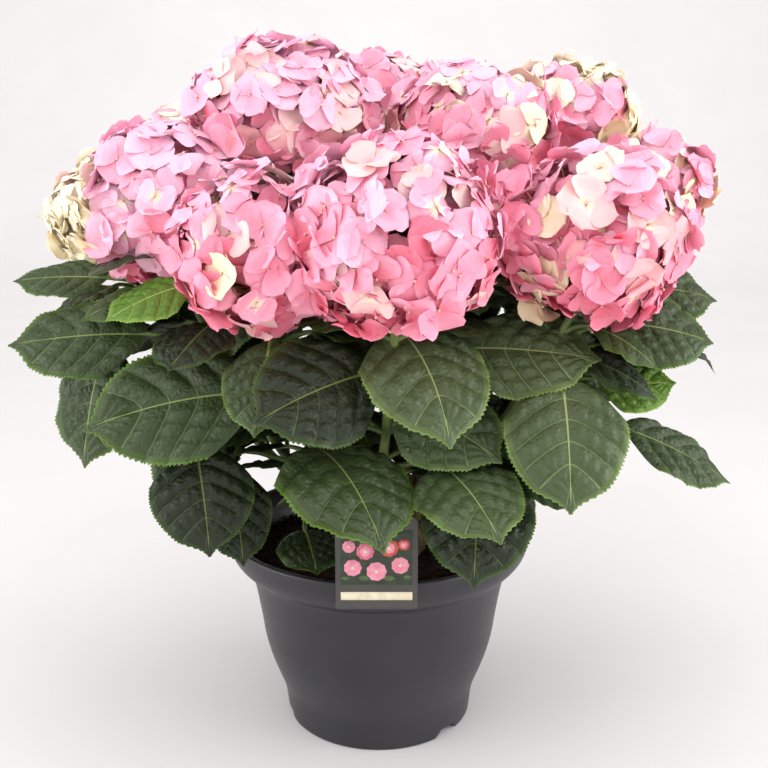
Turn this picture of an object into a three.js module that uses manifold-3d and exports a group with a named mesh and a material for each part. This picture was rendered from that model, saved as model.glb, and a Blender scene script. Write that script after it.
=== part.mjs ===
// A mophead hydrangea in its plastic pot, in millimetres, +Z up.
// The origin is the centre of the pot's flat underside and the front of the plant is -Y.
// Every bough carries one mass of foliage, and every mass carries one head of bloom.

import * as THREE from 'three';
import { mergeVertices } from 'three/addons/utils/BufferGeometryUtils.js';
import Module from 'manifold-3d';

const wasm = await Module();
wasm.setup();

// ---------------------------------------------------------------- driving dimensions

const GAP = 0.3;

const POT = {
  height: 187,
  baseRadius: 88,
  baseEdge: 2,
  footRadius: 92,
  footHeight: 34,
  shoulderRadius: 96,
  shoulderHeight: 42,
  hipRadius: 106,
  hipHeight: 70,
  bellyRadius: 113,
  bellyHeight: 112,
  neckRadius: 121.5,
  neckHeight: 151,
  lipRadius: 131,
  lipHeight: 158,
  rimRadius: 142,
  rimFlareInset: 3.5,
  rimFlareHeight: 169,
  rimEdge: 2,
  rimEdgeHeight: 184,
  rimInnerRadius: 126,
  rimInnerEdge: 1,
  wall: 3,
  floor: 5,
  sides: 32,
  notches: 3,
  notchHeading: -44,
  notchWidth: 24,
  notchHeight: 8,
  notchDepth: 10,
};

const SOIL = { top: 160, mound: 3, seatRadius: 50 };

const CROWN = {
  height: 22,
  footRadius: 46,
  bulgeRadius: 42,
  bulgeHeight: 6,
  topRadius: 36,
  topDrop: 5,
  capRadius: 26,
  capDrop: 1,
  sides: 14,
};

const CANE = {
  footRing: 28,
  innerRing: 9,
  innerReach: 100,
  footRadius: 5.6,
  forkRadius: 4.4,
  tipRadius: 3.2,
  forkHeight: 236,
  bowOut: 0.64,
  bowUp: 0.4,
  sides: 5,
  boughSteps: 4,
  stemSteps: 5,
};

const TAG = {
  width: 66,
  height: 80,
  thickness: 1.2,
  corner: 7,
  centreX: -1,
  bottom: 167,
  standOff: 0.9,
  tongueWidth: 14,
  tongueSlant: 8,
};

// Head of bloom: its cane's name, centre, radius across and radius up.
const HEADS = [
  { name: 'front', at: [15, -140, 464], across: 84, up: 80 },
  { name: 'front_left', at: [-90, -112, 450], across: 70, up: 68 },
  { name: 'front_right', at: [170, -90, 458], across: 82, up: 78 },
  { name: 'left', at: [-185, -18, 480], across: 76, up: 76 },
  { name: 'top_left', at: [-84, 18, 556], across: 90, up: 68 },
  { name: 'top', at: [84, 30, 546], across: 77, up: 60 },
  { name: 'top_right', at: [184, 112, 558], across: 70, up: 54 },
  { name: 'right', at: [250, 48, 492], across: 60, up: 54 },
  { name: 'far_left', at: [-258, 76, 464], across: 56, up: 62 },
  { name: 'rear_left', at: [-190, 130, 514], across: 64, up: 54 },
  { name: 'rear', at: [0, 150, 560], across: 84, up: 62 },
  { name: 'back_left', at: [-92, 214, 474], across: 80, up: 68 },
  { name: 'back_right', at: [108, 226, 478], across: 80, up: 68 },
  { name: 'right_rear', at: [226, 168, 470], across: 68, up: 62 },
];

// A head is a ball of florets: the eye of each floret, the tips of its sepals and the clefts
// between florets lie at these shares of the head's radius.
const BLOOM = {
  seed: 911,
  eye: 0.93,
  tip: 1,
  tuckedTip: 0.9,
  tuckedShare: 0.3,
  cleft: 0.8,
  jitter: 0.05,
  underside: 0.88,
  stemShare: 0.4,
};

const LEAF = {
  stations: [0.07, 0.28, 0.52, 0.78],
  baseFullness: 0.55,
  tipFullness: 0.9,
  widthShare: 0.72,
  thicknessShare: 0.011,
  camber: 0.16,
  petioleRadius: 2.3,
  petioleTaper: 0.25,
  petioleBend: 0.45,
  petioleDrop: 16,
  lowestRoot: 0.04,
  highestRoot: 0.9,
  clearance: 0.5,
};

// Large leaves that stand out round the skirt: the cane that bears each one, where its blade begins,
// the compass heading of its midrib, the midrib's slope at the base and at the tip,
// the roll of the blade about the midrib, and its size as length and width.
const SKIRT_LEAVES = [
  { cane: 'far_left', at: [-240, -2, 417], heading: 182, slope: [6, -10], roll: -30, size: [84, 54] },
  { cane: 'left', at: [-196, -52, 376], heading: 180, slope: [2, -12], roll: -40, size: [120, 88] },
  { cane: 'left', at: [-150, -90, 424], heading: 208, slope: [-8, -32], roll: -20, size: [74, 58] },
  { cane: 'left', at: [-134, -86, 392], heading: 252, slope: [-8, -30], roll: 0, size: [78, 66] },
  { cane: 'far_left', at: [-240, -24, 362], heading: 250, slope: [-52, -84], roll: 8, size: [112, 92] },
  { cane: 'front_left', at: [-97, -104, 338], heading: 184, slope: [0, -24], roll: -54, size: [145, 106] },
  { cane: 'left', at: [-150, -98, 290], heading: 292, slope: [-50, -82], roll: 4, size: [92, 86] },
  { cane: 'front_left', at: [-126, -72, 262], heading: 290, slope: [-50, -74], roll: 0, size: [84, 62] },
  { cane: 'front', at: [-50, -102, 292], heading: 300, slope: [2, -54], roll: -2, size: [128, 114] },
  { cane: 'front_left', at: [-62, -90, 214], heading: 282, slope: [0, -16], roll: 0, size: [72, 56] },
  { cane: 'front_left', at: [-84, -118, 382], heading: 262, slope: [-34, -62], roll: 0, size: [84, 66] },
  { cane: 'front', at: [-2, -124, 360], heading: 214, slope: [-4, -24], roll: -50, size: [110, 96] },
  { cane: 'front', at: [17, -98, 389], heading: 297, slope: [-12, -74], roll: 6, size: [120, 106] },
  { cane: 'front_right', at: [66, -82, 370], heading: 350, slope: [4, -10], roll: 42, size: [116, 90] },
  { cane: 'front_right', at: [148, -106, 350], heading: 272, slope: [-42, -82], roll: 0, size: [112, 100] },
  { cane: 'front', at: [14, -82, 326], heading: 330, slope: [-12, -32], roll: 36, size: [106, 86] },
  { cane: 'front', at: [52, -104, 276], heading: 294, slope: [2, -38], roll: 8, size: [106, 90] },
  { cane: 'front_right', at: [84, -104, 266], heading: 262, slope: [-16, -76], roll: 4, size: [100, 92] },
  { cane: 'right', at: [198, -30, 402], heading: 6, slope: [22, -26], roll: 36, size: [102, 84] },
  { cane: 'front_right', at: [196, -70, 388], heading: 4, slope: [0, -24], roll: 44, size: [88, 78] },
  { cane: 'right', at: [186, -40, 364], heading: 0, slope: [4, -10], roll: 18, size: [86, 66] },
  { cane: 'front_right', at: [186, -66, 340], heading: 0, slope: [-8, 2], roll: 44, size: [66, 58] },
  { cane: 'right', at: [216, -40, 290], heading: 0, slope: [-18, -38], roll: 24, size: [112, 74] },
  { cane: 'far_left', at: [-112, 18, 262], heading: 176, slope: [0, -56], roll: 0, size: [122, 90] },
  { cane: 'rear_left', at: [-86, 62, 280], heading: 140, slope: [4, -50], roll: 0, size: [118, 86] },
  { cane: 'right', at: [108, -6, 290], heading: 352, slope: [4, -46], roll: 0, size: [122, 90] },
  { cane: 'right_rear', at: [96, 58, 276], heading: 32, slope: [0, -52], roll: 0, size: [122, 88] },
];

// Pairs of leaves that every cane bears by rule: how far up the mass's stem a pair stands,
// the spread of the pair about the cane's outward heading, and the blades' length and slope.
const PAIRS = [
  { rise: 0.06, spread: 70, length: 124, slope: [-6, -62] },
  { rise: 0.25, spread: 24, length: 136, slope: [-2, -62] },
  { rise: 0.44, spread: 76, length: 134, slope: [-2, -58] },
  { rise: 0.62, spread: 28, length: 124, slope: [-6, -56] },
  { rise: 0.8, spread: 70, length: 104, slope: [-10, -54] },
];
const PAIR = {
  reachAcross: 322,
  reachDeep: 292,
  shadeShare: 0.45,
  frontReach: 115,
  hemHeight: 190,
  hemRadius: 140,
  hemRise: 0.45,
  seed: 7001,
  petiole: 26,
  petioleRise: 0.35,
  headingJitter: 16,
  slopeJitter: 8,
  lengthJitter: 0.1,
  roll: 14,
  tries: 10,
  turnPerTry: 33,
  droopPerTry: 3,
  shrinkPerTry: 0.95,
};

const MATERIALS = {
  pot: { color: 0x47464b, roughness: 0.55, metalness: 0 },
  soil: { color: 0x2d221b, roughness: 0.95, metalness: 0 },
  cane: { color: 0x6a6a3a, roughness: 0.8, metalness: 0 },
  leaf: { color: 0x3c5a2f, roughness: 0.6, metalness: 0 },
  bloom: { color: 0xf5a3b8, roughness: 0.75, metalness: 0 },
  tag: { color: 0x4b4846, roughness: 0.5, metalness: 0 },
};

// ---------------------------------------------------------------- solids

const radians = THREE.MathUtils.degToRad;

function solidFrom(geometry) {
  const bare = geometry.clone();
  bare.deleteAttribute('normal');
  bare.deleteAttribute('uv');
  const merged = mergeVertices(bare, 1e-4);
  return new wasm.Manifold(new wasm.Mesh({
    numProp: 3,
    vertProperties: new Float32Array(merged.attributes.position.array),
    triVerts: new Uint32Array(merged.index.array),
  }));
}

function geometryFrom(solid) {
  const mesh = solid.getMesh();
  const geometry = new THREE.BufferGeometry();
  geometry.setAttribute('position', new THREE.BufferAttribute(mesh.vertProperties, 3));
  geometry.setIndex(new THREE.BufferAttribute(mesh.triVerts, 1));
  geometry.computeVertexNormals();
  return geometry;
}

// Closes a stack of rings into one solid. A ring of one point is a pointed end.
function loft(rings) {
  const positions = [];
  const starts = rings.map((ring) => {
    const start = positions.length / 3;
    ring.forEach((point) => positions.push(point.x, point.y, point.z));
    return start;
  });
  const triangles = [];
  const count = Math.max(...rings.map((ring) => ring.length));
  for (let level = 0; level + 1 < rings.length; level += 1) {
    const low = starts[level];
    const high = starts[level + 1];
    for (let side = 0; side < count; side += 1) {
      const next = (side + 1) % count;
      if (rings[level].length === 1) {
        triangles.push(low, high + next, high + side);
      } else if (rings[level + 1].length === 1) {
        triangles.push(low + side, low + next, high);
      } else {
        triangles.push(low + side, low + next, high + next);
        triangles.push(low + side, high + next, high + side);
      }
    }
  }
  for (const [level, flip] of [[0, true], [rings.length - 1, false]]) {
    for (let side = 1; rings[level].length > 1 && side + 1 < count; side += 1) {
      const fan = [starts[level] + side, starts[level] + side + 1];
      triangles.push(starts[level], ...(flip ? fan.reverse() : fan));
    }
  }
  const geometry = new THREE.BufferGeometry();
  geometry.setAttribute('position', new THREE.Float32BufferAttribute(positions, 3));
  geometry.setIndex(triangles);
  return solidFrom(geometry);
}

// A limb that tapers along a stretch of a curve, with flat ends.
function limb(curve, from, to, radiusFrom, radiusTo, steps) {
  const rings = [];
  const reference = new THREE.Vector3(0.31, 0.95, 0);
  for (let step = 0; step <= steps; step += 1) {
    const share = step / steps;
    const along = THREE.MathUtils.lerp(from, to, share);
    const centre = curve.getPoint(along);
    const tangent = curve.getTangent(along);
    const across = new THREE.Vector3().crossVectors(reference, tangent).normalize();
    const other = new THREE.Vector3().crossVectors(tangent, across);
    const radius = THREE.MathUtils.lerp(radiusFrom, radiusTo, share);
    rings.push(Array.from({ length: CANE.sides }, (_, side) => {
      const turn = (side / CANE.sides) * 2 * Math.PI;
      return centre.clone()
        .addScaledVector(across, radius * Math.cos(turn))
        .addScaledVector(other, radius * Math.sin(turn));
    }));
  }
  return loft(rings);
}

function lathe(profile, sides) {
  const geometry = new THREE.LatheGeometry(profile.map(([r, z]) => new THREE.Vector2(r, z)), sides);
  geometry.rotateX(Math.PI / 2);
  return solidFrom(geometry);
}

function touches(solid, others) {
  return others.some((other) => !solid.intersect(other).isEmpty());
}

function randomFrom(seed) {
  let state = seed;
  return () => {
    state = (state * 1664525 + 1013904223) % 4294967296;
    return state / 4294967296;
  };
}

// ---------------------------------------------------------------- pot, soil and tag

function potOuterProfile() {
  return [
    [0, 0],
    [POT.baseRadius - POT.baseEdge, 0],
    [POT.baseRadius, POT.baseEdge],
    [POT.footRadius, POT.footHeight],
    [POT.shoulderRadius, POT.shoulderHeight],
    [POT.hipRadius, POT.hipHeight],
    [POT.bellyRadius, POT.bellyHeight],
    [POT.neckRadius, POT.neckHeight],
    [POT.lipRadius, POT.lipHeight],
    [POT.rimRadius - POT.rimFlareInset, POT.rimFlareHeight],
    [POT.rimRadius, POT.rimEdgeHeight],
    [POT.rimRadius - POT.rimEdge, POT.height],
    [POT.rimInnerRadius + POT.rimInnerEdge, POT.height],
  ];
}

function potInnerProfile(clearance) {
  const inset = POT.wall + clearance;
  return [
    [POT.neckRadius - inset, POT.neckHeight],
    [POT.bellyRadius - inset, POT.bellyHeight],
    [POT.hipRadius - inset, POT.hipHeight],
    [POT.shoulderRadius - inset, POT.shoulderHeight],
    [POT.footRadius - inset, POT.footHeight],
    [POT.baseRadius - inset, POT.floor + clearance],
    [0, POT.floor + clearance],
  ];
}

function buildPot() {
  const shell = lathe([
    ...potOuterProfile(),
    [POT.rimInnerRadius, POT.height - POT.rimInnerEdge],
    ...potInnerProfile(0),
  ], POT.sides);
  const notch = new THREE.BoxGeometry(POT.notchDepth * 2, POT.notchWidth, POT.notchHeight * 2);
  notch.translate(POT.baseRadius, 0, 0);
  let pot = shell;
  for (let index = 0; index < POT.notches; index += 1) {
    const heading = radians(POT.notchHeading) + (index / POT.notches) * 2 * Math.PI;
    pot = pot.subtract(solidFrom(notch.clone().rotateZ(heading)));
  }
  return pot;
}

function buildSoil() {
  const [neck, ...below] = potInnerProfile(GAP);
  const rate = (neck[0] - below[0][0]) / (neck[1] - below[0][1]);
  const edgeRadius = neck[0] - (neck[1] - SOIL.top) * rate;
  const profile = [
    [0, SOIL.top + SOIL.mound],
    [SOIL.seatRadius, SOIL.top + SOIL.mound],
    [edgeRadius, SOIL.top],
    ...below,
  ];
  return lathe(profile.reverse(), POT.sides);
}

// The label's card hangs outside the rim, and its tongue bends over the rim to the soil.
function buildTag() {
  const half = TAG.width / 2;
  const card = new THREE.Shape();
  card.moveTo(-half, 0);
  card.lineTo(half, 0);
  card.lineTo(half, TAG.height - TAG.corner);
  card.absarc(half - TAG.corner, TAG.height - TAG.corner, TAG.corner, 0, Math.PI / 2, false);
  card.absarc(-half + TAG.corner, TAG.height - TAG.corner, TAG.corner, Math.PI / 2, Math.PI, false);
  card.lineTo(-half, 0);
  const plate = new THREE.ExtrudeGeometry(card, {
    depth: TAG.thickness, bevelEnabled: false, curveSegments: 4,
  });
  plate.rotateX(Math.PI / 2);
  const front = -(POT.rimRadius + TAG.standOff);
  plate.translate(TAG.centreX, front, TAG.bottom);

  const over = POT.height + TAG.standOff;
  const inside = -(POT.rimInnerRadius - TAG.standOff - TAG.thickness);
  const soilHere = SOIL.top + SOIL.mound + GAP;
  const bend = new THREE.Shape();
  bend.moveTo(front - TAG.thickness / 2, over + TAG.thickness);
  bend.lineTo(front - TAG.thickness / 2, over);
  bend.lineTo(inside - TAG.thickness, over);
  bend.lineTo(inside + TAG.tongueSlant, soilHere);
  bend.lineTo(inside + TAG.tongueSlant + TAG.thickness, soilHere);
  bend.lineTo(inside, over + TAG.thickness);
  const tongue = new THREE.ExtrudeGeometry(bend, { depth: TAG.tongueWidth, bevelEnabled: false });
  const basis = new THREE.Matrix4().makeBasis(
    new THREE.Vector3(0, 1, 0), new THREE.Vector3(0, 0, 1), new THREE.Vector3(1, 0, 0));
  tongue.applyMatrix4(basis);
  tongue.translate(TAG.centreX - TAG.tongueWidth / 2, 0, 0);
  return solidFrom(plate).add(solidFrom(tongue));
}

// ---------------------------------------------------------------- foot and boughs

const soilSeat = SOIL.top + SOIL.mound;

function crownSolid(clearance) {
  const bottom = soilSeat + GAP - clearance;
  const top = soilSeat + CROWN.height + clearance;
  return lathe([
    [0, bottom],
    [CROWN.footRadius + clearance, bottom],
    [CROWN.bulgeRadius + clearance, soilSeat + CROWN.bulgeHeight],
    [CROWN.topRadius + clearance, top - CROWN.topDrop],
    [CROWN.capRadius + clearance, top - CROWN.capDrop],
    [0, top],
  ], CROWN.sides);
}

// The feet of the outer canes share the crown's edge evenly, in the order of their headings.
function caneFeet() {
  const isInner = ({ at }) => Math.hypot(at[0], at[1]) < CANE.innerReach;
  const heading = ({ at }) => Math.atan2(at[1], at[0]);
  const outer = HEADS.filter((head) => !isInner(head)).sort((a, b) => heading(a) - heading(b));
  const feet = new Map();
  outer.forEach((head, index) => {
    const angle = heading(outer[0]) + (index / outer.length) * 2 * Math.PI;
    feet.set(head.name, [CANE.footRing * Math.cos(angle), CANE.footRing * Math.sin(angle)]);
  });
  HEADS.filter(isInner).forEach((head) => {
    const angle = heading(head);
    feet.set(head.name, [CANE.innerRing * Math.cos(angle), CANE.innerRing * Math.sin(angle)]);
  });
  return feet;
}

const feet = caneFeet();

function caneCurve({ name, at, up }) {
  const [x, y, z] = at;
  const [footX, footY] = feet.get(name);
  const low = soilSeat + CROWN.height / 2;
  const high = z - up * BLOOM.stemShare;
  return new THREE.QuadraticBezierCurve3(
    new THREE.Vector3(footX, footY, low),
    new THREE.Vector3(x * CANE.bowOut, y * CANE.bowOut, low + (high - low) * CANE.bowUp),
    new THREE.Vector3(x, y, high),
  );
}

// Where along its curve a cane passes a height.
function alongAtHeight(curve, height) {
  let low = 0;
  let high = 1;
  for (let step = 0; step < 30; step += 1) {
    const middle = (low + high) / 2;
    if (curve.getPoint(middle).z < height) {
      low = middle;
    } else {
      high = middle;
    }
  }
  return low;
}

// ---------------------------------------------------------------- leaves

function leafPoint(leaf, along) {
  const [first, last] = leaf.slope.map(radians);
  const slope = THREE.MathUtils.lerp(first, last, along);
  const change = last - first;
  const forward = (Math.sin(slope) - Math.sin(first)) / change;
  const rise = (Math.cos(first) - Math.cos(slope)) / change;
  const heading = radians(leaf.heading);
  const ahead = new THREE.Vector3(Math.cos(heading), Math.sin(heading), 0);
  const left = new THREE.Vector3(-Math.sin(heading), Math.cos(heading), 0);
  const point = new THREE.Vector3(...leaf.at)
    .addScaledVector(ahead, leaf.length * forward)
    .add(new THREE.Vector3(0, 0, leaf.length * rise));
  const tangent = ahead.clone().multiplyScalar(Math.cos(slope)).setZ(Math.sin(slope));
  const upright = new THREE.Vector3().crossVectors(tangent, left);
  const roll = radians(leaf.roll);
  const side = left.clone().multiplyScalar(Math.cos(roll)).addScaledVector(upright, Math.sin(roll));
  const normal = upright.multiplyScalar(Math.cos(roll)).addScaledVector(left, -Math.sin(roll));
  return { point, tangent, side, normal };
}

function leafHalfWidth(leaf, along) {
  const widest = LEAF.baseFullness / (LEAF.baseFullness + LEAF.tipFullness);
  const base = (along / widest) ** LEAF.baseFullness;
  const tip = ((1 - along) / (1 - widest)) ** LEAF.tipFullness;
  return (leaf.width / 2) * base * tip;
}

// A leaf runs from inside its stem: a stalk up to the blade's base, then a thin blade with a
// thicker middle, sharp margins and a pointed tip.
function leafSolid(leaf, growth) {
  return loft([...stalkRings(leaf, growth), ...bladeRings(leaf, growth)]);
}

function stalkRings(leaf, growth) {
  const base = leafPoint(leaf, 0);
  const reach = leaf.root.distanceTo(base.point);
  const bend = base.point.clone().addScaledVector(base.tangent, -reach * LEAF.petioleBend);
  const stalk = new THREE.QuadraticBezierCurve3(leaf.root, bend, base.point);
  return [0, 1].map((along) => {
    const tangent = stalk.getTangent(along);
    const across = base.side.clone().projectOnPlane(tangent).normalize();
    const other = new THREE.Vector3().crossVectors(tangent, across);
    const radius = LEAF.petioleRadius * (1 - LEAF.petioleTaper * along) + growth;
    return [1, -1].flatMap((sign) => [across, other].map((axis) => (
      stalk.getPoint(along).addScaledVector(axis, sign * radius)
    )));
  });
}

function bladeRings(leaf, growth) {
  const thickness = leaf.length * LEAF.thicknessShare + growth;
  const tip = leafPoint(leaf, 1);
  const rings = LEAF.stations.map((along) => {
    const { point, side, normal } = leafPoint(leaf, along);
    const half = leafHalfWidth(leaf, along) + growth;
    const drop = -LEAF.camber * half;
    return [
      point.clone().addScaledVector(side, half).addScaledVector(normal, drop),
      point.clone().addScaledVector(normal, thickness),
      point.clone().addScaledVector(side, -half).addScaledVector(normal, drop),
      point.clone().addScaledVector(normal, -thickness),
    ];
  });
  return [...rings, [tip.point.addScaledVector(tip.tangent, growth)]];
}

// A skirt leaf has one place, and its stalk leaves the stem a little below the blade's base.
function skirtLeaves(head, curve, fork) {
  return SKIRT_LEAVES.filter(({ cane }) => cane === head.name).map((leaf) => {
    const below = alongAtHeight(curve, leaf.at[2] - LEAF.petioleDrop);
    const from = THREE.MathUtils.clamp(below, fork + LEAF.lowestRoot, LEAF.highestRoot);
    const [length, width] = leaf.size;
    return [{ ...leaf, length, width, root: curve.getPoint(from) }];
  });
}

// A paired leaf ends outside the shade of the crown and within its reach, above a hem that
// rises outwards, and leaves the front to the large leaves.
function withinCrown(leaf) {
  const { x, y, z } = leafPoint(leaf, 1).point;
  const outward = Math.hypot(x / PAIR.reachAcross, y / PAIR.reachDeep);
  const hem = PAIR.hemHeight + PAIR.hemRise * Math.max(0, Math.hypot(x, y) - PAIR.hemRadius);
  return outward < 1 && outward > PAIR.shadeShare && y > -PAIR.frontReach && z > hem;
}

// Each leaf of a pair has a few places to try, each turned further round the stem. The places
// that end outside the crown are struck out.
function pairedLeaves(head, index, curve, fork) {
  const random = randomFrom(PAIR.seed + index);
  const jitter = (amount) => (random() * 2 - 1) * amount;
  const outward = THREE.MathUtils.radToDeg(Math.atan2(head.at[1], head.at[0]));
  return PAIRS.flatMap(({ rise, spread, length, slope }) => [-1, 1].map((hand) => {
    const heading = outward + hand * spread + jitter(PAIR.headingJitter);
    const droop = jitter(PAIR.slopeJitter);
    const size = length * (1 + jitter(PAIR.lengthJitter));
    const roll = jitter(PAIR.roll);
    const root = curve.getPoint(THREE.MathUtils.lerp(fork, 1, rise));
    return Array.from({ length: PAIR.tries }, (_, attempt) => {
      const turned = heading + hand * attempt * PAIR.turnPerTry;
      const smaller = size * PAIR.shrinkPerTry ** attempt;
      return {
        root,
        at: [
          root.x + PAIR.petiole * Math.cos(radians(turned)),
          root.y + PAIR.petiole * Math.sin(radians(turned)),
          root.z + PAIR.petiole * PAIR.petioleRise,
        ],
        heading: turned,
        slope: slope.map((degrees) => degrees + droop - attempt * PAIR.droopPerTry),
        roll,
        length: smaller,
        width: smaller * LEAF.widthShare,
      };
    }).filter(withinCrown);
  }));
}

// ---------------------------------------------------------------- heads of bloom

// Every corner of a divided icosahedron is a floret's eye. The middle of each edge is where
// two sepals meet, and the middle of each face is the cleft between three florets.
function headSolid(head, index, growth) {
  const random = randomFrom(BLOOM.seed + index);
  const ball = new THREE.IcosahedronGeometry(1, 1);
  ball.rotateX(random() * Math.PI).rotateZ(random() * Math.PI);
  ball.deleteAttribute('normal');
  ball.deleteAttribute('uv');
  const merged = mergeVertices(ball, 1e-4);
  const corners = merged.attributes.position;
  const points = [];
  const reach = (share) => share * (1 + (random() * 2 - 1) * BLOOM.jitter);
  const add = (direction, share) => {
    const { x, y, z } = direction.normalize();
    const upward = head.up * (z < 0 ? BLOOM.underside : 1);
    points.push(
      head.at[0] + x * (head.across * share + growth),
      head.at[1] + y * (head.across * share + growth),
      head.at[2] + z * (upward * share + growth),
    );
    return points.length / 3 - 1;
  };
  const corner = (number) => new THREE.Vector3().fromBufferAttribute(corners, number);
  for (let number = 0; number < corners.count; number += 1) {
    add(corner(number), reach(BLOOM.eye));
  }
  const edges = new Map();
  const edge = (a, b) => {
    const key = `${Math.min(a, b)}-${Math.max(a, b)}`;
    if (!edges.has(key)) {
      const share = random() < BLOOM.tuckedShare ? BLOOM.tuckedTip : BLOOM.tip;
      edges.set(key, add(corner(a).add(corner(b)), reach(share)));
    }
    return edges.get(key);
  };
  const triangles = [];
  for (let face = 0; face < merged.index.count; face += 3) {
    const [a, b, c] = [0, 1, 2].map((offset) => merged.index.getX(face + offset));
    const rim = [a, edge(a, b), b, edge(b, c), c, edge(c, a)];
    const cleft = add(corner(a).add(corner(b)).add(corner(c)), reach(BLOOM.cleft));
    rim.forEach((from, step) => triangles.push(from, rim[(step + 1) % rim.length], cleft));
  }
  const geometry = new THREE.BufferGeometry();
  geometry.setAttribute('position', new THREE.Float32BufferAttribute(points, 3));
  geometry.setIndex(triangles);
  return solidFrom(geometry);
}

// Neighbouring heads press against each other and stay a gap apart.
function pressedHeads() {
  const centre = ({ at }) => new THREE.Vector3(...at);
  return HEADS.map((head, index) => {
    let solid = headSolid(head, index, 0);
    HEADS.filter((other) => other !== head).forEach((other) => {
      const away = centre(head).sub(centre(other));
      const distance = away.length();
      if (distance < head.across + other.across) {
        const share = other.across / (head.across + other.across);
        const seam = centre(other).addScaledVector(away, share);
        const normal = away.normalize();
        solid = solid.trimByPlane(normal.toArray(), normal.dot(seam) + GAP / 2);
      }
    });
    return solid;
  });
}

// ---------------------------------------------------------------- assembly

const plant = new THREE.Group();

function addMesh(name, solid, material) {
  const mesh = new THREE.Mesh(geometryFrom(solid), new THREE.MeshStandardMaterial(material));
  mesh.name = name;
  plant.add(mesh);
}

const pot = buildPot();
const soil = buildSoil();
const tag = buildTag();
addMesh('pot', pot, MATERIALS.pot);
addMesh('soil', soil, MATERIALS.soil);
addMesh('plant_label', tag, MATERIALS.tag);
addMesh('woody_foot', crownSolid(0), MATERIALS.cane);

// Boughs run from the foot to the fork height, and the masses' stems run on from there.
const limbs = HEADS.map((head, index) => {
  const curve = caneCurve(head);
  const fork = alongAtHeight(curve, CANE.forkHeight);
  const stretch = curve.getLength();
  const cane = limb(curve, 0, fork, CANE.footRadius, CANE.forkRadius, CANE.boughSteps);
  const stem = limb(
    curve, fork + GAP / stretch, 1, CANE.forkRadius, CANE.tipRadius, CANE.stemSteps);
  return {
    head,
    curve,
    fork,
    cane: cane.subtract(crownSolid(GAP)),
    stem: stem.subtract(headSolid(head, index, GAP)),
  };
});
limbs.forEach(({ head, cane }) => addMesh(`cane_${head.name}`, cane, MATERIALS.cane));

const heads = pressedHeads();
HEADS.forEach((head, index) => addMesh(`bloom_${head.name}`, heads[index], MATERIALS.bloom));

// A leaf takes the first of its places where it touches no limb, head, pot or earlier leaf.
// With no such place it is left out.
const placed = limbs.map(() => []);

function placeLeaf(places, index) {
  const others = placed.filter((_, other) => other !== index).flat();
  const stems = limbs.filter((_, other) => other !== index).map(({ stem }) => stem);
  const canes = limbs.map(({ cane }) => cane);
  const fixed = [pot, soil, tag, ...canes, ...stems, ...heads];
  const fitting = places.find((leaf) => {
    const grown = leafSolid(leaf, LEAF.clearance);
    const bladeAlone = loft(bladeRings(leaf, LEAF.clearance));
    return !touches(grown, [...fixed, ...others]) && !touches(bladeAlone, placed[index]);
  });
  if (fitting) {
    placed[index].push(leafSolid(fitting, 0));
  }
}

// The skirt leaves take their places first, then the pairs fill in round them.
limbs.forEach(({ head, curve, fork }, index) => {
  skirtLeaves(head, curve, fork).forEach((places) => placeLeaf(places, index));
});
limbs.forEach(({ head, curve, fork }, index) => {
  pairedLeaves(head, index, curve, fork).forEach((places) => placeLeaf(places, index));
});
limbs.forEach(({ head, stem }, index) => {
  addMesh(`foliage_${head.name}`, wasm.Manifold.union([stem, ...placed[index]]), MATERIALS.leaf);
});

export default plant;
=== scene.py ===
"""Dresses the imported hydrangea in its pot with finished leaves, florets, bark, plastic and soil.

Sizes in the classes are in millimetres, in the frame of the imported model. Meshes are written in
metres. The front of the plant is -Y.
"""

import logging
import math
from dataclasses import dataclass, field, replace
from enum import Enum
from itertools import product

import bmesh
import bpy
import numpy as np
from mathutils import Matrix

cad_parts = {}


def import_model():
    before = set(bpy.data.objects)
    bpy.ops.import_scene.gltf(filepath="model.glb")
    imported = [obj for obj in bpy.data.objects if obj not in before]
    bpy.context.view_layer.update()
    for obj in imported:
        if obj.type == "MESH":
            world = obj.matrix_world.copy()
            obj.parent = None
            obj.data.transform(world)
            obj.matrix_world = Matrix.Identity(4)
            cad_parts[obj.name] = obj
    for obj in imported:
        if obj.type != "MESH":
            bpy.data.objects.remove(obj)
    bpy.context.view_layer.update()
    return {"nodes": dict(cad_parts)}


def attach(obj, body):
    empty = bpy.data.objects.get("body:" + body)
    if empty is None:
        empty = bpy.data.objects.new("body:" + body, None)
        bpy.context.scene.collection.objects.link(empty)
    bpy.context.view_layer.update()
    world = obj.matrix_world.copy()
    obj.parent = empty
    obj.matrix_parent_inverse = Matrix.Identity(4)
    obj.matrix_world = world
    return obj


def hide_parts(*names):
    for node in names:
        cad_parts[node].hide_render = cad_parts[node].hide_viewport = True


LOG = logging.getLogger("hydrangea")
MM = 0.001
WELD = 1e-6
TUBE_SEAM = np.array([0.31, 0.95, 0.02])
ROOT = "root"

Triple = tuple[float, float, float]


# ---------------------------------------------------------------- small helpers


def linear(code: str) -> Triple:
    """Turns a display colour into a linear one.

    Args:
        code: six hexadecimal digits, red first.

    Returns:
        The linear red, green and blue.
    """
    shares = [int(code[start:start + 2], 16) / 255 for start in (0, 2, 4)]
    low = [share / 12.92 for share in shares]
    high = [((share + 0.055) / 1.055) ** 2.4 for share in shares]
    return tuple(h if share > 0.04045 else n for share, n, h in zip(shares, low, high))


def unit(vectors: np.ndarray) -> np.ndarray:
    """Scales each vector to length 1."""
    return vectors / np.linalg.norm(vectors, axis=-1, keepdims=True)


def smooth(low: float, high: float, values: np.ndarray) -> np.ndarray:
    """Eases each value from 0 at the low number to 1 at the high one."""
    share = np.clip((np.asarray(values, float) - low) / (high - low), 0, 1)
    return share * share * (3 - 2 * share)


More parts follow.
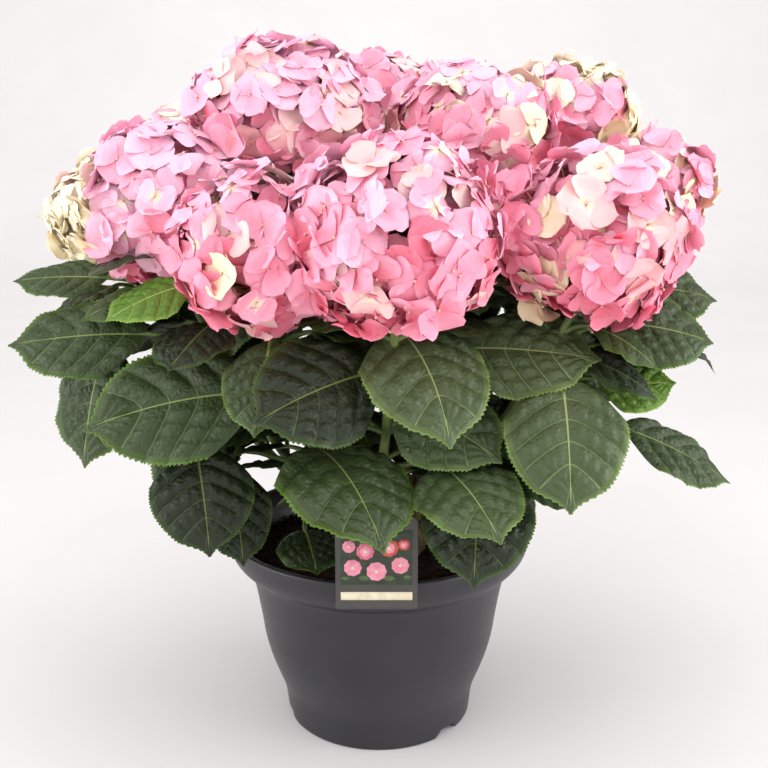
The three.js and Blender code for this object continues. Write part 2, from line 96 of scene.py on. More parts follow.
def jitter(draw: np.random.Generator, amount: float) -> float:
    """Draws a number between minus and plus the amount."""
    return draw.uniform(-amount, amount)


def full_turn(count: int) -> np.ndarray:
    """Gives evenly spaced angles once round."""
    return np.linspace(0, 2 * np.pi, count, endpoint=False)


def turned(radius: np.ndarray, height: np.ndarray, turn: np.ndarray) -> np.ndarray:
    """Turns a profile about the Z axis.

    Args:
        radius: the radius of each row, or of each of its points.
        height: the height of each row, or of each of its points.
        turn: the angle of each point in a row.

    Returns:
        A grid of rings.
    """
    return np.stack(np.broadcast_arrays(radius * np.cos(turn), radius * np.sin(turn), height), -1)


@dataclass
class SeededDraws:
    """The same plain generator that the source draws its leaves from."""

    state: int
    factor: int = 1664525
    step: int = 1013904223
    size: int = 2 ** 32

    def share(self) -> float:
        """Draws a number from 0 to 1."""
        self.state = (self.state * self.factor + self.step) % self.size
        return self.state / self.size

    def jitter(self, amount: float) -> float:
        """Draws a number between minus and plus the amount."""
        return (self.share() * 2 - 1) * amount


# ---------------------------------------------------------------- meshes


@dataclass
class MeshBatch:
    """Many small grids joined into one piece."""

    name: str
    materials: list[bpy.types.Material]
    slot: str
    points: list[np.ndarray] = field(default_factory=list)
    quads: list[np.ndarray] = field(default_factory=list)
    shades: list[np.ndarray] = field(default_factory=list)
    count: int = 0

    def add_grid(self, grid: np.ndarray, shade: np.ndarray | int = 0, ring: bool = False) -> None:
        """Adds one sheet of quads.

        Args:
            grid: points in rows and columns, in millimetres.
            shade: the material number, for all faces or one for each.
            ring: whether the last column joins the first.
        """
        rows, columns = grid.shape[:2]
        spans = columns if ring else columns - 1
        row = np.arange(rows - 1)[:, None] * columns
        here = np.arange(spans)[None, :]
        after = (here + 1) % columns
        corners = [row + here, row + after, row + columns + after, row + columns + here]
        self.points.append(grid.reshape(-1, 3))
        self.quads.append(np.stack(corners, -1).reshape(-1, 4) + self.count)
        self.shades.append(np.broadcast_to(shade, (rows - 1, spans)).reshape(-1))
        self.count += rows * columns

    def build(self, replaced: list[str]) -> None:
        """Args:
            replaced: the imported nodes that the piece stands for.
        """
        mesh = bpy.data.meshes.new(self.name)
        points = np.concatenate(self.points) * MM
        quads = np.concatenate(self.quads)
        mesh.vertices.add(len(points))
        mesh.vertices.foreach_set("co", points.astype(np.float32).ravel())
        mesh.loops.add(quads.size)
        mesh.loops.foreach_set("vertex_index", quads.astype(np.int32).ravel())
        mesh.polygons.add(len(quads))
        mesh.polygons.foreach_set("loop_start", np.arange(0, quads.size, 4, dtype=np.int32))
        mesh.polygons.foreach_set("material_index", np.concatenate(self.shades).astype(np.int32))
        mesh.update(calc_edges=True)
        form = bmesh.new()
        form.from_mesh(mesh)
        bmesh.ops.remove_doubles(form, verts=form.verts, dist=WELD)
        bmesh.ops.dissolve_degenerate(form, edges=form.edges, dist=WELD)
        form.to_mesh(mesh)
        form.free()
        mesh.shade_smooth()
        for material in self.materials:
            mesh.materials.append(material)
        piece = bpy.data.objects.new(self.name, mesh)
        bpy.context.collection.objects.link(piece)
        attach(piece, ROOT)
        if replaced:
            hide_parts(*replaced)
        triangles = sum(len(face.vertices) - 2 for face in mesh.polygons)
        LOG.info("%s: %d triangles", self.name, triangles)


def tube(
    path: np.ndarray,
    radii: np.ndarray,
    sides: int,
    wobble: np.ndarray | float = 1.0,
    closed: bool = False,
) -> np.ndarray:
    """Wraps rings round a path.

    Args:
        path: the points of the path.
        radii: the radius at each point.
        sides: points in a ring.
        wobble: a factor on the radius, for all points or for each point of each ring.
        closed: whether both ends are drawn to a point.

    Returns:
        A grid of rings.
    """
    ahead = unit(np.gradient(path, axis=0))
    across = unit(np.cross(TUBE_SEAM, ahead))
    other = np.cross(ahead, across)
    turn = full_turn(sides)[None, :, None]
    flat = across[:, None] * np.cos(turn) + other[:, None] * np.sin(turn)
    grid = path[:, None] + flat * (radii[:, None] * wobble)[..., None]
    if not closed:
        return grid
    ends = [np.broadcast_to(end, grid[:1].shape) for end in (path[0], path[-1])]
    return np.concatenate([ends[0], grid, ends[1]])


# ---------------------------------------------------------------- finishes


class Pattern(Enum):
    """The relief that breaks up a finish's surface."""

    MOTTLED = "mottled"
    STREAKED = "streaked"
    NETTED = "netted"


def wire(
    tree: bpy.types.NodeTree, node: bpy.types.Node, inputs: dict[str, object]
) -> bpy.types.Node:
    """Sets or links a node's inputs.

    Args:
        tree: the material's nodes.
        node: the node.
        inputs: for each input's name, its value or the socket that feeds it.

    Returns:
        The node.
    """
    for name, value in inputs.items():
        if isinstance(value, bpy.types.NodeSocket):
            tree.links.new(value, node.inputs[name])
        else:
            node.inputs[name].default_value = value
    return node


@dataclass(frozen=True)
class Finish:
    """A surface: one plain colour or a few mixed ones, a gloss and a fine relief."""

    name: str
    colours: tuple[str, ...]
    roughness: tuple[float, float]
    scale: float
    relief: float
    relief_scale: float
    pattern: Pattern = Pattern.MOTTLED
    stretch: Triple = (1.0, 1.0, 1.0)
    specular: float = 0.5
    sheen: float = 0.0
    relief_strength: float = 0.7
    grain_band: tuple[float, float] = (0.3, 0.7)
    colour_band: tuple[float, float] = (0.36, 0.64)

    def coloured(self, name: str, code: str) -> "Finish":
        """Gives the same finish under a new name, in one plain colour."""
        return replace(self, name=name, colours=(code,))

    def material(self) -> bpy.types.Material:
        """Builds the node material.

        Returns:
            The new material.
        """
        material = bpy.data.materials.new(self.name)
        material.use_nodes = True
        tree = material.node_tree
        new = tree.nodes.new
        place = new("ShaderNodeTexCoord").outputs["Object"]
        at = wire(tree, new("ShaderNodeMapping"), {"Vector": place, "Scale": self.stretch})
        spot = at.outputs["Vector"]
        grain = wire(tree, new("ShaderNodeTexNoise"), {
            "Vector": spot, "Scale": self.scale, "Detail": 5, "Roughness": 0.6,
        }).outputs["Fac"]
        gloss = wire(tree, new("ShaderNodeMapRange"), {
            "Value": grain, "From Min": self.grain_band[0], "From Max": self.grain_band[1],
            "To Min": self.roughness[0], "To Max": self.roughness[1],
        })
        bump = wire(tree, new("ShaderNodeBump"), {
            "Height": self.height(tree, spot), "Distance": self.relief,
            "Strength": self.relief_strength,
        })
        wire(tree, tree.nodes["Principled BSDF"], {
            "Base Color": self.colour(tree, grain), "Roughness": gloss.outputs["Result"],
            "Normal": bump.outputs["Normal"], "Specular IOR Level": self.specular,
            "Sheen Weight": self.sheen,
        })
        return material

    def colour(
        self, tree: bpy.types.NodeTree, grain: bpy.types.NodeSocket
    ) -> bpy.types.NodeSocket | tuple[float, ...]:
        """Mixes the colours by the grain.

        Args:
            tree: the material's nodes.
            grain: the noise that mixes them.

        Returns:
            The mixed colour, or the one plain colour.
        """
        if len(self.colours) == 1:
            return (*linear(self.colours[0]), 1)
        ramp = wire(tree, tree.nodes.new("ShaderNodeValToRGB"), {"Fac": grain})
        stops = ramp.color_ramp.elements
        while len(stops) < len(self.colours):
            stops.new(0.5)
        for stop, at, code in zip(
            stops, np.linspace(*self.colour_band, len(self.colours)), self.colours
        ):
            stop.position = at
            stop.color = (*linear(code), 1)
        return ramp.outputs["Color"]

    def height(
        self, tree: bpy.types.NodeTree, spot: bpy.types.NodeSocket
    ) -> bpy.types.NodeSocket:
        """Gives the fine relief's height.

        Args:
            tree: the material's nodes.
            spot: the place on the surface.

        Returns:
            The socket with the height.
        """
        if self.pattern is Pattern.MOTTLED:
            fine = wire(tree, tree.nodes.new("ShaderNodeTexNoise"), {
                "Vector": spot, "Scale": self.relief_scale, "Detail": 4,
            })
            return fine.outputs["Fac"]
        ridge = wire(tree, tree.nodes.new("ShaderNodeTexVoronoi"), {
            "Vector": spot, "Scale": self.relief_scale * 0.5,
        })
        if self.pattern is Pattern.NETTED:
            ridge.feature = "DISTANCE_TO_EDGE"
        return ridge.outputs["Distance"]


BLADE = Finish("blade", (), (0.38, 0.52), 40, 0.0022, 360, Pattern.NETTED, specular=0.36)
VEIN = Finish("vein", (), (0.42, 0.55), 90, 0.0002, 1200, specular=0.35)
SEPAL = Finish("sepal", (), (0.5, 0.64), 60, 0.0003, 480, specular=0.22, sheen=0.05)


def steps(codes: tuple[str, ...], count: int) -> list[str]:
    """Walks evenly through a few display colours.

    Args:
        codes: the colours to pass, each six hexadecimal digits.
        count: how many steps to give.

    Returns:
        The colour at each step.
    """
    shares = np.array([[int(code[start:start + 2], 16) for start in (0, 2, 4)] for code in codes])
    at = np.linspace(0, len(codes) - 1, count)
    walked = [np.interp(at, np.arange(len(codes)), shares[:, channel]) for channel in range(3)]
    return ["%02X%02X%02X" % tuple(int(round(value)) for value in step) for step in zip(*walked)]


def curve_through(points: np.ndarray, count: int) -> np.ndarray:
    """Runs a smooth curve through points.

    Args:
        points: the points, one row for each.
        count: steps between two points.

    Returns:
        The curve's points, ending on the last one.
    """
    ends = np.concatenate([[2 * points[0] - points[1]], points, [2 * points[-1] - points[-2]]])
    share = np.linspace(0, 1, count, endpoint=False)[:, None]
    runs = [
        0.5 * (2 * here + (after - before) * share
               + (2 * before - 5 * here + 4 * after - beyond) * share ** 2
               + (3 * here - before - 3 * after + beyond) * share ** 3)
        for before, here, after, beyond in zip(ends, ends[1:], ends[2:], ends[3:])
    ]
    return np.concatenate([*runs, points[-1:]])


def bent(corners: np.ndarray, along: float | np.ndarray) -> np.ndarray:
    """Follows a curve that three points steer.

    Args:
        corners: the first point, the one that it bends towards, and the last.
        along: one or more shares of the way.

    Returns:
        The point, or one row for each share.
    """
    share = np.asarray(along, float)[..., None]
    first, middle, last = corners
    return (1 - share) ** 2 * first + 2 * share * (1 - share) * middle + share ** 2 * last


# ---------------------------------------------------------------- pot, soil and label


@dataclass(frozen=True)
class Pot:
    """The round tapered plastic pot.

    Profiles are rows of radius and height. The foot's edge is told by how far inside base_radius
    it is, and the rim's slope by how far outside rim_inner_radius.
    """

    base_radius: float = 88
    rim_inner_radius: float = 126
    wall: float = 3
    floor: float = 5
    sides: int = 168
    notches: int = 3
    notch_heading: float = -44
    notch_width: float = 24
    notch_height: float = 8
    side: tuple[tuple[float, float], ...] = (
        (88, 3), (88.8, 11), (90.2, 22), (92.4, 32), (96.5, 43), (103.1, 61), (108.4, 81),
        (111.2, 100), (113.1, 112), (116.2, 130), (119.6, 144), (121.8, 150), (125.4, 154),
        (131.2, 158.2), (136.6, 165), (139.8, 173), (141.4, 181), (142, 184.4),
    )
    foot_edge: tuple[tuple[float, float], ...] = ((3, 0), (1.2, 0.4), (0.3, 1.4))
    rim_edge: tuple[tuple[float, float], ...] = ((141.6, 185.9), (140.4, 186.8), (138.8, 187))
    rim_slope: tuple[tuple[float, float], ...] = (
        (11.2, 186.6), (9.4, 185.2), (6.6, 181.6), (2, 175.6), (-1.6, 168), (-4.4, 160),
    )

    def outside(self) -> np.ndarray:
        """Gives the outer profile from the underside's centre up to the rim's top.

        Returns:
            Rows of radius and height.
        """
        under = [(0, 0), (60, 0)] + [(self.base_radius - inset, up) for inset, up in self.foot_edge]
        return np.concatenate([under, curve_through(np.array(self.side, float), 3), self.rim_edge])

    def inside(self) -> np.ndarray:
        """Gives the inner profile from the rim's top down to the floor.

        Returns:
            Rows of radius and height.
        """
        slope = [(self.rim_inner_radius + out, height) for out, height in self.rim_slope]
        wall = [(radius - self.wall, height) for radius, height in self.side[-7:0:-1]]
        floor = [(self.base_radius - self.wall, self.floor), (0, self.floor)]
        return np.array(slope + wall + floor)

    def build(self) -> None:
        """Turns the profile, lifts the foot at the drainage notches and dresses it."""
        outside = self.outside()
        profile = np.concatenate([outside, self.inside()])
        turn = full_turn(self.sides)
        spacing = 2 * np.pi / self.notches
        away = (turn - math.radians(self.notch_heading) + spacing / 2) % spacing - spacing / 2
        half = self.notch_width / 2 / self.base_radius
        lift = self.notch_height * (1 - smooth(half * 0.8, half * 1.1, np.abs(away)))
        foot = np.zeros((len(profile), 1))
        foot[2:len(outside)] = 1
        height = np.maximum(profile[:, 1:], lift * foot)
        plastic = Finish(
            "charcoal_plastic", ("242327", "2E2D31"), (0.34, 0.46), 7, 0.00012, 1500,
            specular=0.42,
        )
        batch = MeshBatch("plastic_pot", [plastic.material()], "pot")
        batch.add_grid(turned(profile[:, :1], height, turn), ring=True)
        batch.build(["pot"])


@dataclass(frozen=True)
class Soil:
    """Moist compost with crumbs and chips."""

    top: float = 160
    mound: float = 3
    edge_radius: float = 120.5
    bottom: float = 8
    bottom_radius: float = 84
    rings: int = 46
    sides: int = 170
    crumbs: int = 520
    chips: int = 100
    swells: tuple[tuple[int, float], ...] = (
        (6, 0.6), (11, 0.45), (19, 0.35), (33, 0.3), (47, 0.25),
    )
    grit: float = 0.35
    mound_band: tuple[float, float] = (0.45, 1)
    crumb_sizes: tuple[float, float] = (0.9, 2.8)
    chip_sizes: tuple[float, float] = (3, 8)
    crumb_rise: float = 2.6
    strewn: tuple[float, float] = (0.02, 0.94)
    seed: int = 31

    def build(self) -> None:
        """Makes the rough top, the sides and the loose crumbs."""
        draw = np.random.default_rng(self.seed)
        turn = full_turn(self.sides)
        share = np.linspace(0, 1, self.rings)[:, None]
        rough = sum(
            size * np.sin(draw.uniform(1, 3) * wave * share
                          + np.round(draw.uniform(1, wave)) * turn + draw.uniform(0, 6))
            for wave, size in self.swells
        ) * np.minimum(share * 8, 1)
        rough += draw.normal(0, self.grit, rough.shape) * (share > 0)
        height = self.top + self.mound * (1 - smooth(*self.mound_band, share)) + rough
        height[-2:] = self.top - 1
        radius = np.append(share * self.edge_radius, [[self.bottom_radius], [0]], 0)
        height = np.append(height, np.full((2, self.sides), self.bottom), 0)
        compost = Finish(
            "dark_compost", ("120C08", "2A1C13", "3E2C1E"), (0.85, 0.98), 160, 0.0012, 700,
            specular=0.15,
        )
        batch = MeshBatch("compost", [compost.material()], "soil")
        batch.add_grid(turned(radius, height, turn), ring=True)
        self.add_crumbs(batch, draw)
        batch.build(["soil"])

    def add_crumbs(self, batch: MeshBatch, draw: np.random.Generator) -> None:
        """Strews crumbs and bark chips over the top.

        Args:
            batch: the piece that takes them.
            draw: the seeded generator.
        """
        for chip in [False] * self.crumbs + [True] * self.chips:
            reach = self.edge_radius * math.sqrt(draw.uniform(*self.strewn))
            heading = draw.uniform(0, 2 * np.pi)
            size = draw.uniform(*(self.chip_sizes if chip else self.crumb_sizes))
            height = self.top + self.crumb_rise
            centre = np.array([reach * np.cos(heading), reach * np.sin(heading), height])
            axis = unit(draw.normal(0, 1, 3) * np.array([1, 1, 0.35]))
            path = centre + axis * np.linspace(-size, size, 5)[:, None]
            girth = size * (0.34 if chip else 0.8) * np.array([0.35, 0.85, 1, 0.8, 0.3])
            grid = tube(path, girth * draw.uniform(0.8, 1.2, 5), 5, closed=True)
            batch.add_grid(grid, ring=True)


@dataclass(frozen=True)
class Label:
    """A hanging card with a simple pattern of blossoms and a plain band."""

    width: float = 66
    height: float = 80
    thickness: float = 1.2
    corner: float = 7
    centre_x: float = -1
    bottom: float = 167
    front: float = -144.1
    proud: float = 0.12
    print_edge: float = 4
    panel_bottom: float = 21
    panel_top: float = 68
    band: tuple[float, float] = (8, 15)
    tongue_width: float = 14
    tongue_path: tuple[tuple[float, float], ...] = (
        (-142.9, 170), (-142.9, 186.6), (-142.4, 187.9), (-141, 188.5), (-127, 188.5),
        (-125, 188), (-123.6, 186.2), (-121, 178), (-118.2, 165),
    )
    bevel: float = 0.2
    ink_depth: float = 0.3
    disc_points: int = 48
    blossoms: tuple[tuple[float, float, float, int], ...] = (
        (-19, 36, 7.5, 1), (0, 33, 8.5, 1), (19, 38, 7.5, 1), (-9, 50, 7.5, 4), (10, 53, 8, 5),
        (22, 56, 5, 5), (-22, 54, 5.5, 1),
    )
    leaves: tuple[tuple[float, float, float], ...] = (
        (-10, 27, 4.5), (10, 27, 4.5), (25, 28, 3.5), (-25, 27, 3.5), (0, 62, 4), (-16, 64, 4),
    )

    def outline(self, inset: float, corner: float) -> np.ndarray:
        """Walks round the card.

        Args:
            inset: how far inside the edge to walk.
            corner: the radius of the upper corners.

        Returns:
            Points on the card's plane, as across and up.
        """
        half = self.width / 2 - inset
        low, high = inset, self.height - inset
        turn = np.linspace(0, np.pi / 2, 9)
        across, up = corner * np.cos(turn), corner * np.sin(turn)
        right = np.stack([half - corner + across, high - corner + up], 1)
        left = np.stack([-half + corner - up, high - corner + across], 1)
        foot = np.array([[-half, low + 1], [-half + 1, low], [half - 1, low], [half, low + 1]])
        return np.concatenate([foot, right, left])

    def plate(self, outline: np.ndarray, front: float, back: float) -> np.ndarray:
        """Gives thickness to an outline.

        Args:
            outline: points as across and up.
            front: the Y of the front face.
            back: the Y of the back face.

        Returns:
            A grid of rings.
        """
        middle = outline.mean(0, keepdims=True).repeat(len(outline), 0)
        inner = middle + (outline - middle) * 0.985
        rows = [(middle, front), (inner, front), (outline, front + self.bevel), (outline, back),
                (middle, back)]
        shift = [self.centre_x, self.bottom]
        return np.stack([np.insert(ring + shift, 1, y, axis=1) for ring, y in rows])

    def disc(
        self, across: float, up: float, radius: float, lobes: int, depth: float
    ) -> np.ndarray:
        """Outlines a round or lobed shape.

        Args:
            across: its centre across the card.
            up: its centre up the card.
            radius: its radius.
            lobes: the number of lobes.
            depth: how deep the clefts between lobes are, as a share of the radius.

        Returns:
            Points as across and up.
        """
        turn = full_turn(self.disc_points)
        reach = radius * (1 - depth * np.abs(np.sin(turn * lobes / 2)) ** 0.8)
        return np.stack([across + reach * np.cos(turn), up + reach * np.sin(turn)], 1)

    def build(self) -> None:
        """Makes the card, its tongue and its printed shapes."""
        card = Finish("label_card", ("3F3D3A", "4B4846"), (0.32, 0.44), 12, 0.0001, 900)
        batch = MeshBatch("label_card", [card.material()], "label")
        outline = self.outline(0, self.corner)
        batch.add_grid(self.plate(outline, self.front, self.front + self.thickness), ring=True)
        batch.add_grid(self.tongue(), ring=True)
        batch.build(["plant_label"])
        self.print_shapes()

    def tongue(self) -> np.ndarray:
        """Bends the tongue over the rim.

        Returns:
            A grid of rings.
        """
        path = np.array(self.tongue_path)
        ahead = unit(np.gradient(path, axis=0))
        out = np.stack([-ahead[:, 1], ahead[:, 0]], 1) * self.thickness / 2
        half = self.tongue_width / 2
        grid = np.stack([
            np.stack([np.full(len(path), self.centre_x + x), *(path + out * side).T], 1)
            for x, side in ((-half, 1), (half, 1), (half, -1), (-half, -1))
        ], 1)
        first, last = (end.mean(1, keepdims=True).repeat(4, 1) for end in (grid[:1], grid[-1:]))
        return np.concatenate([first, grid, last])

    def print_shapes(self) -> None:
        """Prints a garden ground, blossoms, leaves and a plain band on the card."""
        inks = (
            ("print_ground", ("232B1E", "33402A")), ("print_blossom", ("E07A92", "EFA0B0")),
            ("print_leaf", ("3C5530", "54703C")), ("print_band", ("D8CCA8", "E8E0C4")),
            ("print_rose", ("CC5A72", "DE7E8E")), ("print_red", ("B83A30", "D25A44")),
        )
        finishes = [Finish(name, codes, (0.3, 0.4), 160, 0.00005, 900) for name, codes in inks]
        batch = MeshBatch("label_print", [finish.material() for finish in finishes], "label")

        def add(outline: np.ndarray, shade: int, level: int) -> None:
            """Adds one printed shape at a level above the card."""
            front, back = self.front - self.proud * level, self.front + self.ink_depth
            batch.add_grid(self.plate(outline, front, back), shade, ring=True)

        panel = self.outline(self.print_edge, self.corner - self.print_edge)
        panel[:, 1] = np.clip(panel[:, 1], self.panel_bottom, self.panel_top)
        add(panel, 0, 1)
        for across, up, radius in self.leaves:
            add(self.disc(across, up, radius, 2, 0.5), 2, 2)
        for number, (across, up, radius, shade) in enumerate(self.blossoms):
            level = 3 + 3 * (number % 2)
            add(self.disc(across, up, radius, 9, 0.1), shade, level)
            add(self.disc(across, up, radius * 0.66, 8, 0.16), 1, level + 1)
            add(self.disc(across, up, radius * 0.16, 0, 0), 3, level + 2)
        low, high = self.band
        edge = self.width / 2 - self.print_edge
        add(np.array([[-edge, low], [edge, low], [edge, high], [-edge, high]]), 3, 1)
        batch.build([])


# ---------------------------------------------------------------- the plant


class Side(Enum):
    """The side of the plant that a head and its leaves belong to."""

    FRONT = "front"
    LEFT = "left"
    RIGHT = "right"
    BACK = "back"


@dataclass(frozen=True)
class Head:
    """A head of bloom at the end of a cane."""

    name: str
    side: Side
    at: Triple
    across: float
    up: float
    cream: float = 0.04
    tone: float = 0

    @property
    def centre(self) -> np.ndarray:
        """Gives the head's centre."""
        return np.array(self.at, float)

    @property
    def heading(self) -> float:
        """Gives the head's compass heading in radians."""
        return math.atan2(self.at[1], self.at[0])


HEADS = (
    Head("front", Side.FRONT, (15, -140, 464), 84, 80, 0.02),
    Head("front_left", Side.FRONT, (-90, -112, 450), 70, 68),
    Head("front_right", Side.FRONT, (170, -90, 458), 82, 78, 0.05, 0.5),
    Head("left", Side.LEFT, (-185, -18, 480), 76, 76, 0.04, -1.8),
    Head("top_left", Side.LEFT, (-84, 18, 556), 90, 68, tone=-1.6),
    Head("top", Side.RIGHT, (84, 30, 546), 77, 60, 0.06, -0.6),
    Head("top_right", Side.RIGHT, (184, 112, 558), 70, 54, 0.42, -1),
    Head("right", Side.RIGHT, (250, 48, 492), 60, 54, 0.4),
    Head("far_left", Side.LEFT, (-258, 76, 464), 56, 62, 0.92, -3),
    Head("rear_left", Side.LEFT, (-190, 130, 514), 64, 54, 0.85, -3),
    Head("rear", Side.BACK, (0, 150, 560), 84, 62),
    Head("back_left", Side.BACK, (-92, 214, 474), 80, 68, 0.06),
    Head("back_right", Side.BACK, (108, 226, 478), 80, 68, 0.06),
    Head("right_rear", Side.RIGHT, (226, 168, 470), 68, 62, 0.2),
)


def names_of(side: Side, prefix: str) -> list[str]:
    """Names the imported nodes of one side, from the prefix of their kind."""
    return [prefix + head.name for head in HEADS if head.side is side]


@dataclass(frozen=True)
class Cane:
    """One cane: a bough from the foot to the fork, and a green stem on to its head."""

    head: Head
    foot: tuple[float, float]
    foot_height: float = 174
    foot_radius: float = 5.6
    fork_radius: float = 4.4
    tip_radius: float = 3.2
    fork_height: float = 236
    bow_out: float = 0.64
    bow_up: float = 0.4
    stem_share: float = 0.4

    def corners(self) -> np.ndarray:
        """Gives the three points that steer the curve."""
        x, y, z = self.head.at
        high = z - self.head.up * self.stem_share
        middle = self.foot_height + (high - self.foot_height) * self.bow_up
        return np.array([
            [self.foot[0], self.foot[1], self.foot_height],
            [x * self.bow_out, y * self.bow_out, middle],
            [x, y, high],
        ])

    def point(self, along: float | np.ndarray) -> np.ndarray:
        """Gives places on the cane, from 0 at the foot to 1 at the head."""
        return bent(self.corners(), along)

    def along_at_height(self, height: float) -> float:
        """Finds where the cane passes a height.

        Args:
            height: the height in millimetres.

        Returns:
            The share along the cane.
        """
        low, high = 0.0, 1.0
        for _ in range(30):
            middle = (low + high) / 2
            if self.point(middle)[2] < height:
                low = middle
            else:
                high = middle
        return low

    @property
    def fork(self) -> float:
        """Gives the share along the cane where the green stem begins."""
        return self.along_at_height(self.fork_height)


def cane_feet() -> dict[str, tuple[float, float]]:
    """Shares the foot out among the canes, as the source does.

    Returns:
        For each head's name, its cane's place on the foot.
    """
    ring, inner_ring, inner_reach = 28.0, 9.0, 100.0
    inner = [head for head in HEADS if math.hypot(*head.at[:2]) < inner_reach]
    outer = sorted((head for head in HEADS if head not in inner), key=lambda head: head.heading)
    spots = [
        (head, ring, outer[0].heading + number / len(outer) * 2 * math.pi)
        for number, head in enumerate(outer)
    ]
    spots += [(head, inner_ring, head.heading) for head in inner]
    return {
        head.name: (reach * math.cos(angle), reach * math.sin(angle))
        for head, reach, angle in spots
    }


@dataclass(frozen=True)
class Leaf:
    """One leaf: where its blade begins, how it lies, and where its stalk leaves the stem."""

    at: Triple
    heading: float
    slope: tuple[float, float]
    roll: float
    length: float
    width: float
    root: Triple

    def frame(self, along: np.ndarray) -> tuple[np.ndarray, np.ndarray, np.ndarray, np.ndarray]:
        """Follows the midrib.

        Args:
            along: shares of the blade's length.

        Returns:
            The points, tangents, sideways and upward directions, one row for each share.
        """
        first, last = math.radians(self.slope[0]), math.radians(self.slope[1])
        slope = first + (last - first) * along
        forward = (np.sin(slope) - math.sin(first)) / (last - first)
        rise = (math.cos(first) - np.cos(slope)) / (last - first)
        heading, roll = math.radians(self.heading), math.radians(self.roll)
        ahead = np.array([math.cos(heading), math.sin(heading), 0])
        left = np.array([-math.sin(heading), math.cos(heading), 0])
        up = np.array([0, 0, 1.0])
        away = forward[..., None] * ahead + rise[..., None] * up
        point = np.array(self.at) + self.length * away
        tangent = np.cos(slope)[..., None] * ahead + np.sin(slope)[..., None] * up
        upright = np.cross(tangent, left)
        side = left * math.cos(roll) + upright * math.sin(roll)
        normal = upright * math.cos(roll) - left * math.sin(roll)
        return point, tangent, side, normal

    @property
    def tip(self) -> np.ndarray:
        """Gives the blade's tip."""
        return self.frame(np.array([1.0]))[0][0]


SKIRT_LEAVES = (
    ("far_left", (-240, -2, 417), 182, (6, -10), -30, 84, 54),
    ("left", (-196, -52, 376), 180, (2, -12), -40, 120, 88),
    ("left", (-150, -90, 424), 208, (-8, -32), -20, 74, 58),
    ("left", (-134, -86, 392), 252, (-8, -30), 0, 78, 66),
    ("far_left", (-240, -24, 362), 250, (-52, -84), 8, 112, 92),
    ("front_left", (-97, -104, 338), 184, (0, -24), -54, 145, 106),
    ("left", (-150, -98, 290), 292, (-50, -82), 4, 92, 86),
    ("front_left", (-126, -72, 262), 290, (-50, -74), 0, 84, 62),
    ("front", (-50, -102, 292), 300, (2, -54), -2, 128, 114),
    ("front_left", (-62, -90, 214), 282, (0, -16), 0, 72, 56),
    ("front_left", (-84, -118, 382), 262, (-34, -62), 0, 84, 66),
    ("front", (-2, -124, 360), 214, (-4, -24), -50, 110, 96),
    ("front", (17, -98, 389), 297, (-12, -74), 6, 120, 106),
    ("front_right", (66, -82, 370), 350, (4, -10), 42, 116, 90),
    ("front_right", (148, -106, 350), 272, (-42, -82), 0, 112, 100),
    ("front", (14, -82, 326), 330, (-12, -32), 36, 106, 86),
    ("front", (52, -104, 276), 294, (2, -38), 8, 106, 90),
    ("front_right", (84, -104, 266), 262, (-16, -76), 4, 100, 92),
    ("right", (198, -30, 402), 6, (22, -26), 36, 102, 84),
    ("front_right", (196, -70, 388), 4, (0, -24), 44, 88, 78),
    ("right", (186, -40, 364), 0, (4, -10), 18, 86, 66),
    ("front_right", (186, -66, 340), 0, (-8, 2), 44, 66, 58),
    ("right", (216, -40, 290), 0, (-18, -38), 24, 112, 74),
    ("far_left", (-112, 18, 262), 176, (0, -56), 0, 122, 90),
    ("rear_left", (-86, 62, 280), 140, (4, -50), 0, 118, 86),
    ("right", (108, -6, 290), 352, (4, -46), 0, 122, 90),
    ("right_rear", (96, 58, 276), 32, (0, -52), 0, 122, 88),
)

PAIRS = (
    (0.06, 70, 124, (-6, -62)), (0.25, 24, 136, (-2, -62)), (0.44, 76, 134, (-2, -58)),
    (0.62, 28, 124, (-6, -56)), (0.8, 70, 104, (-10, -54)),
)


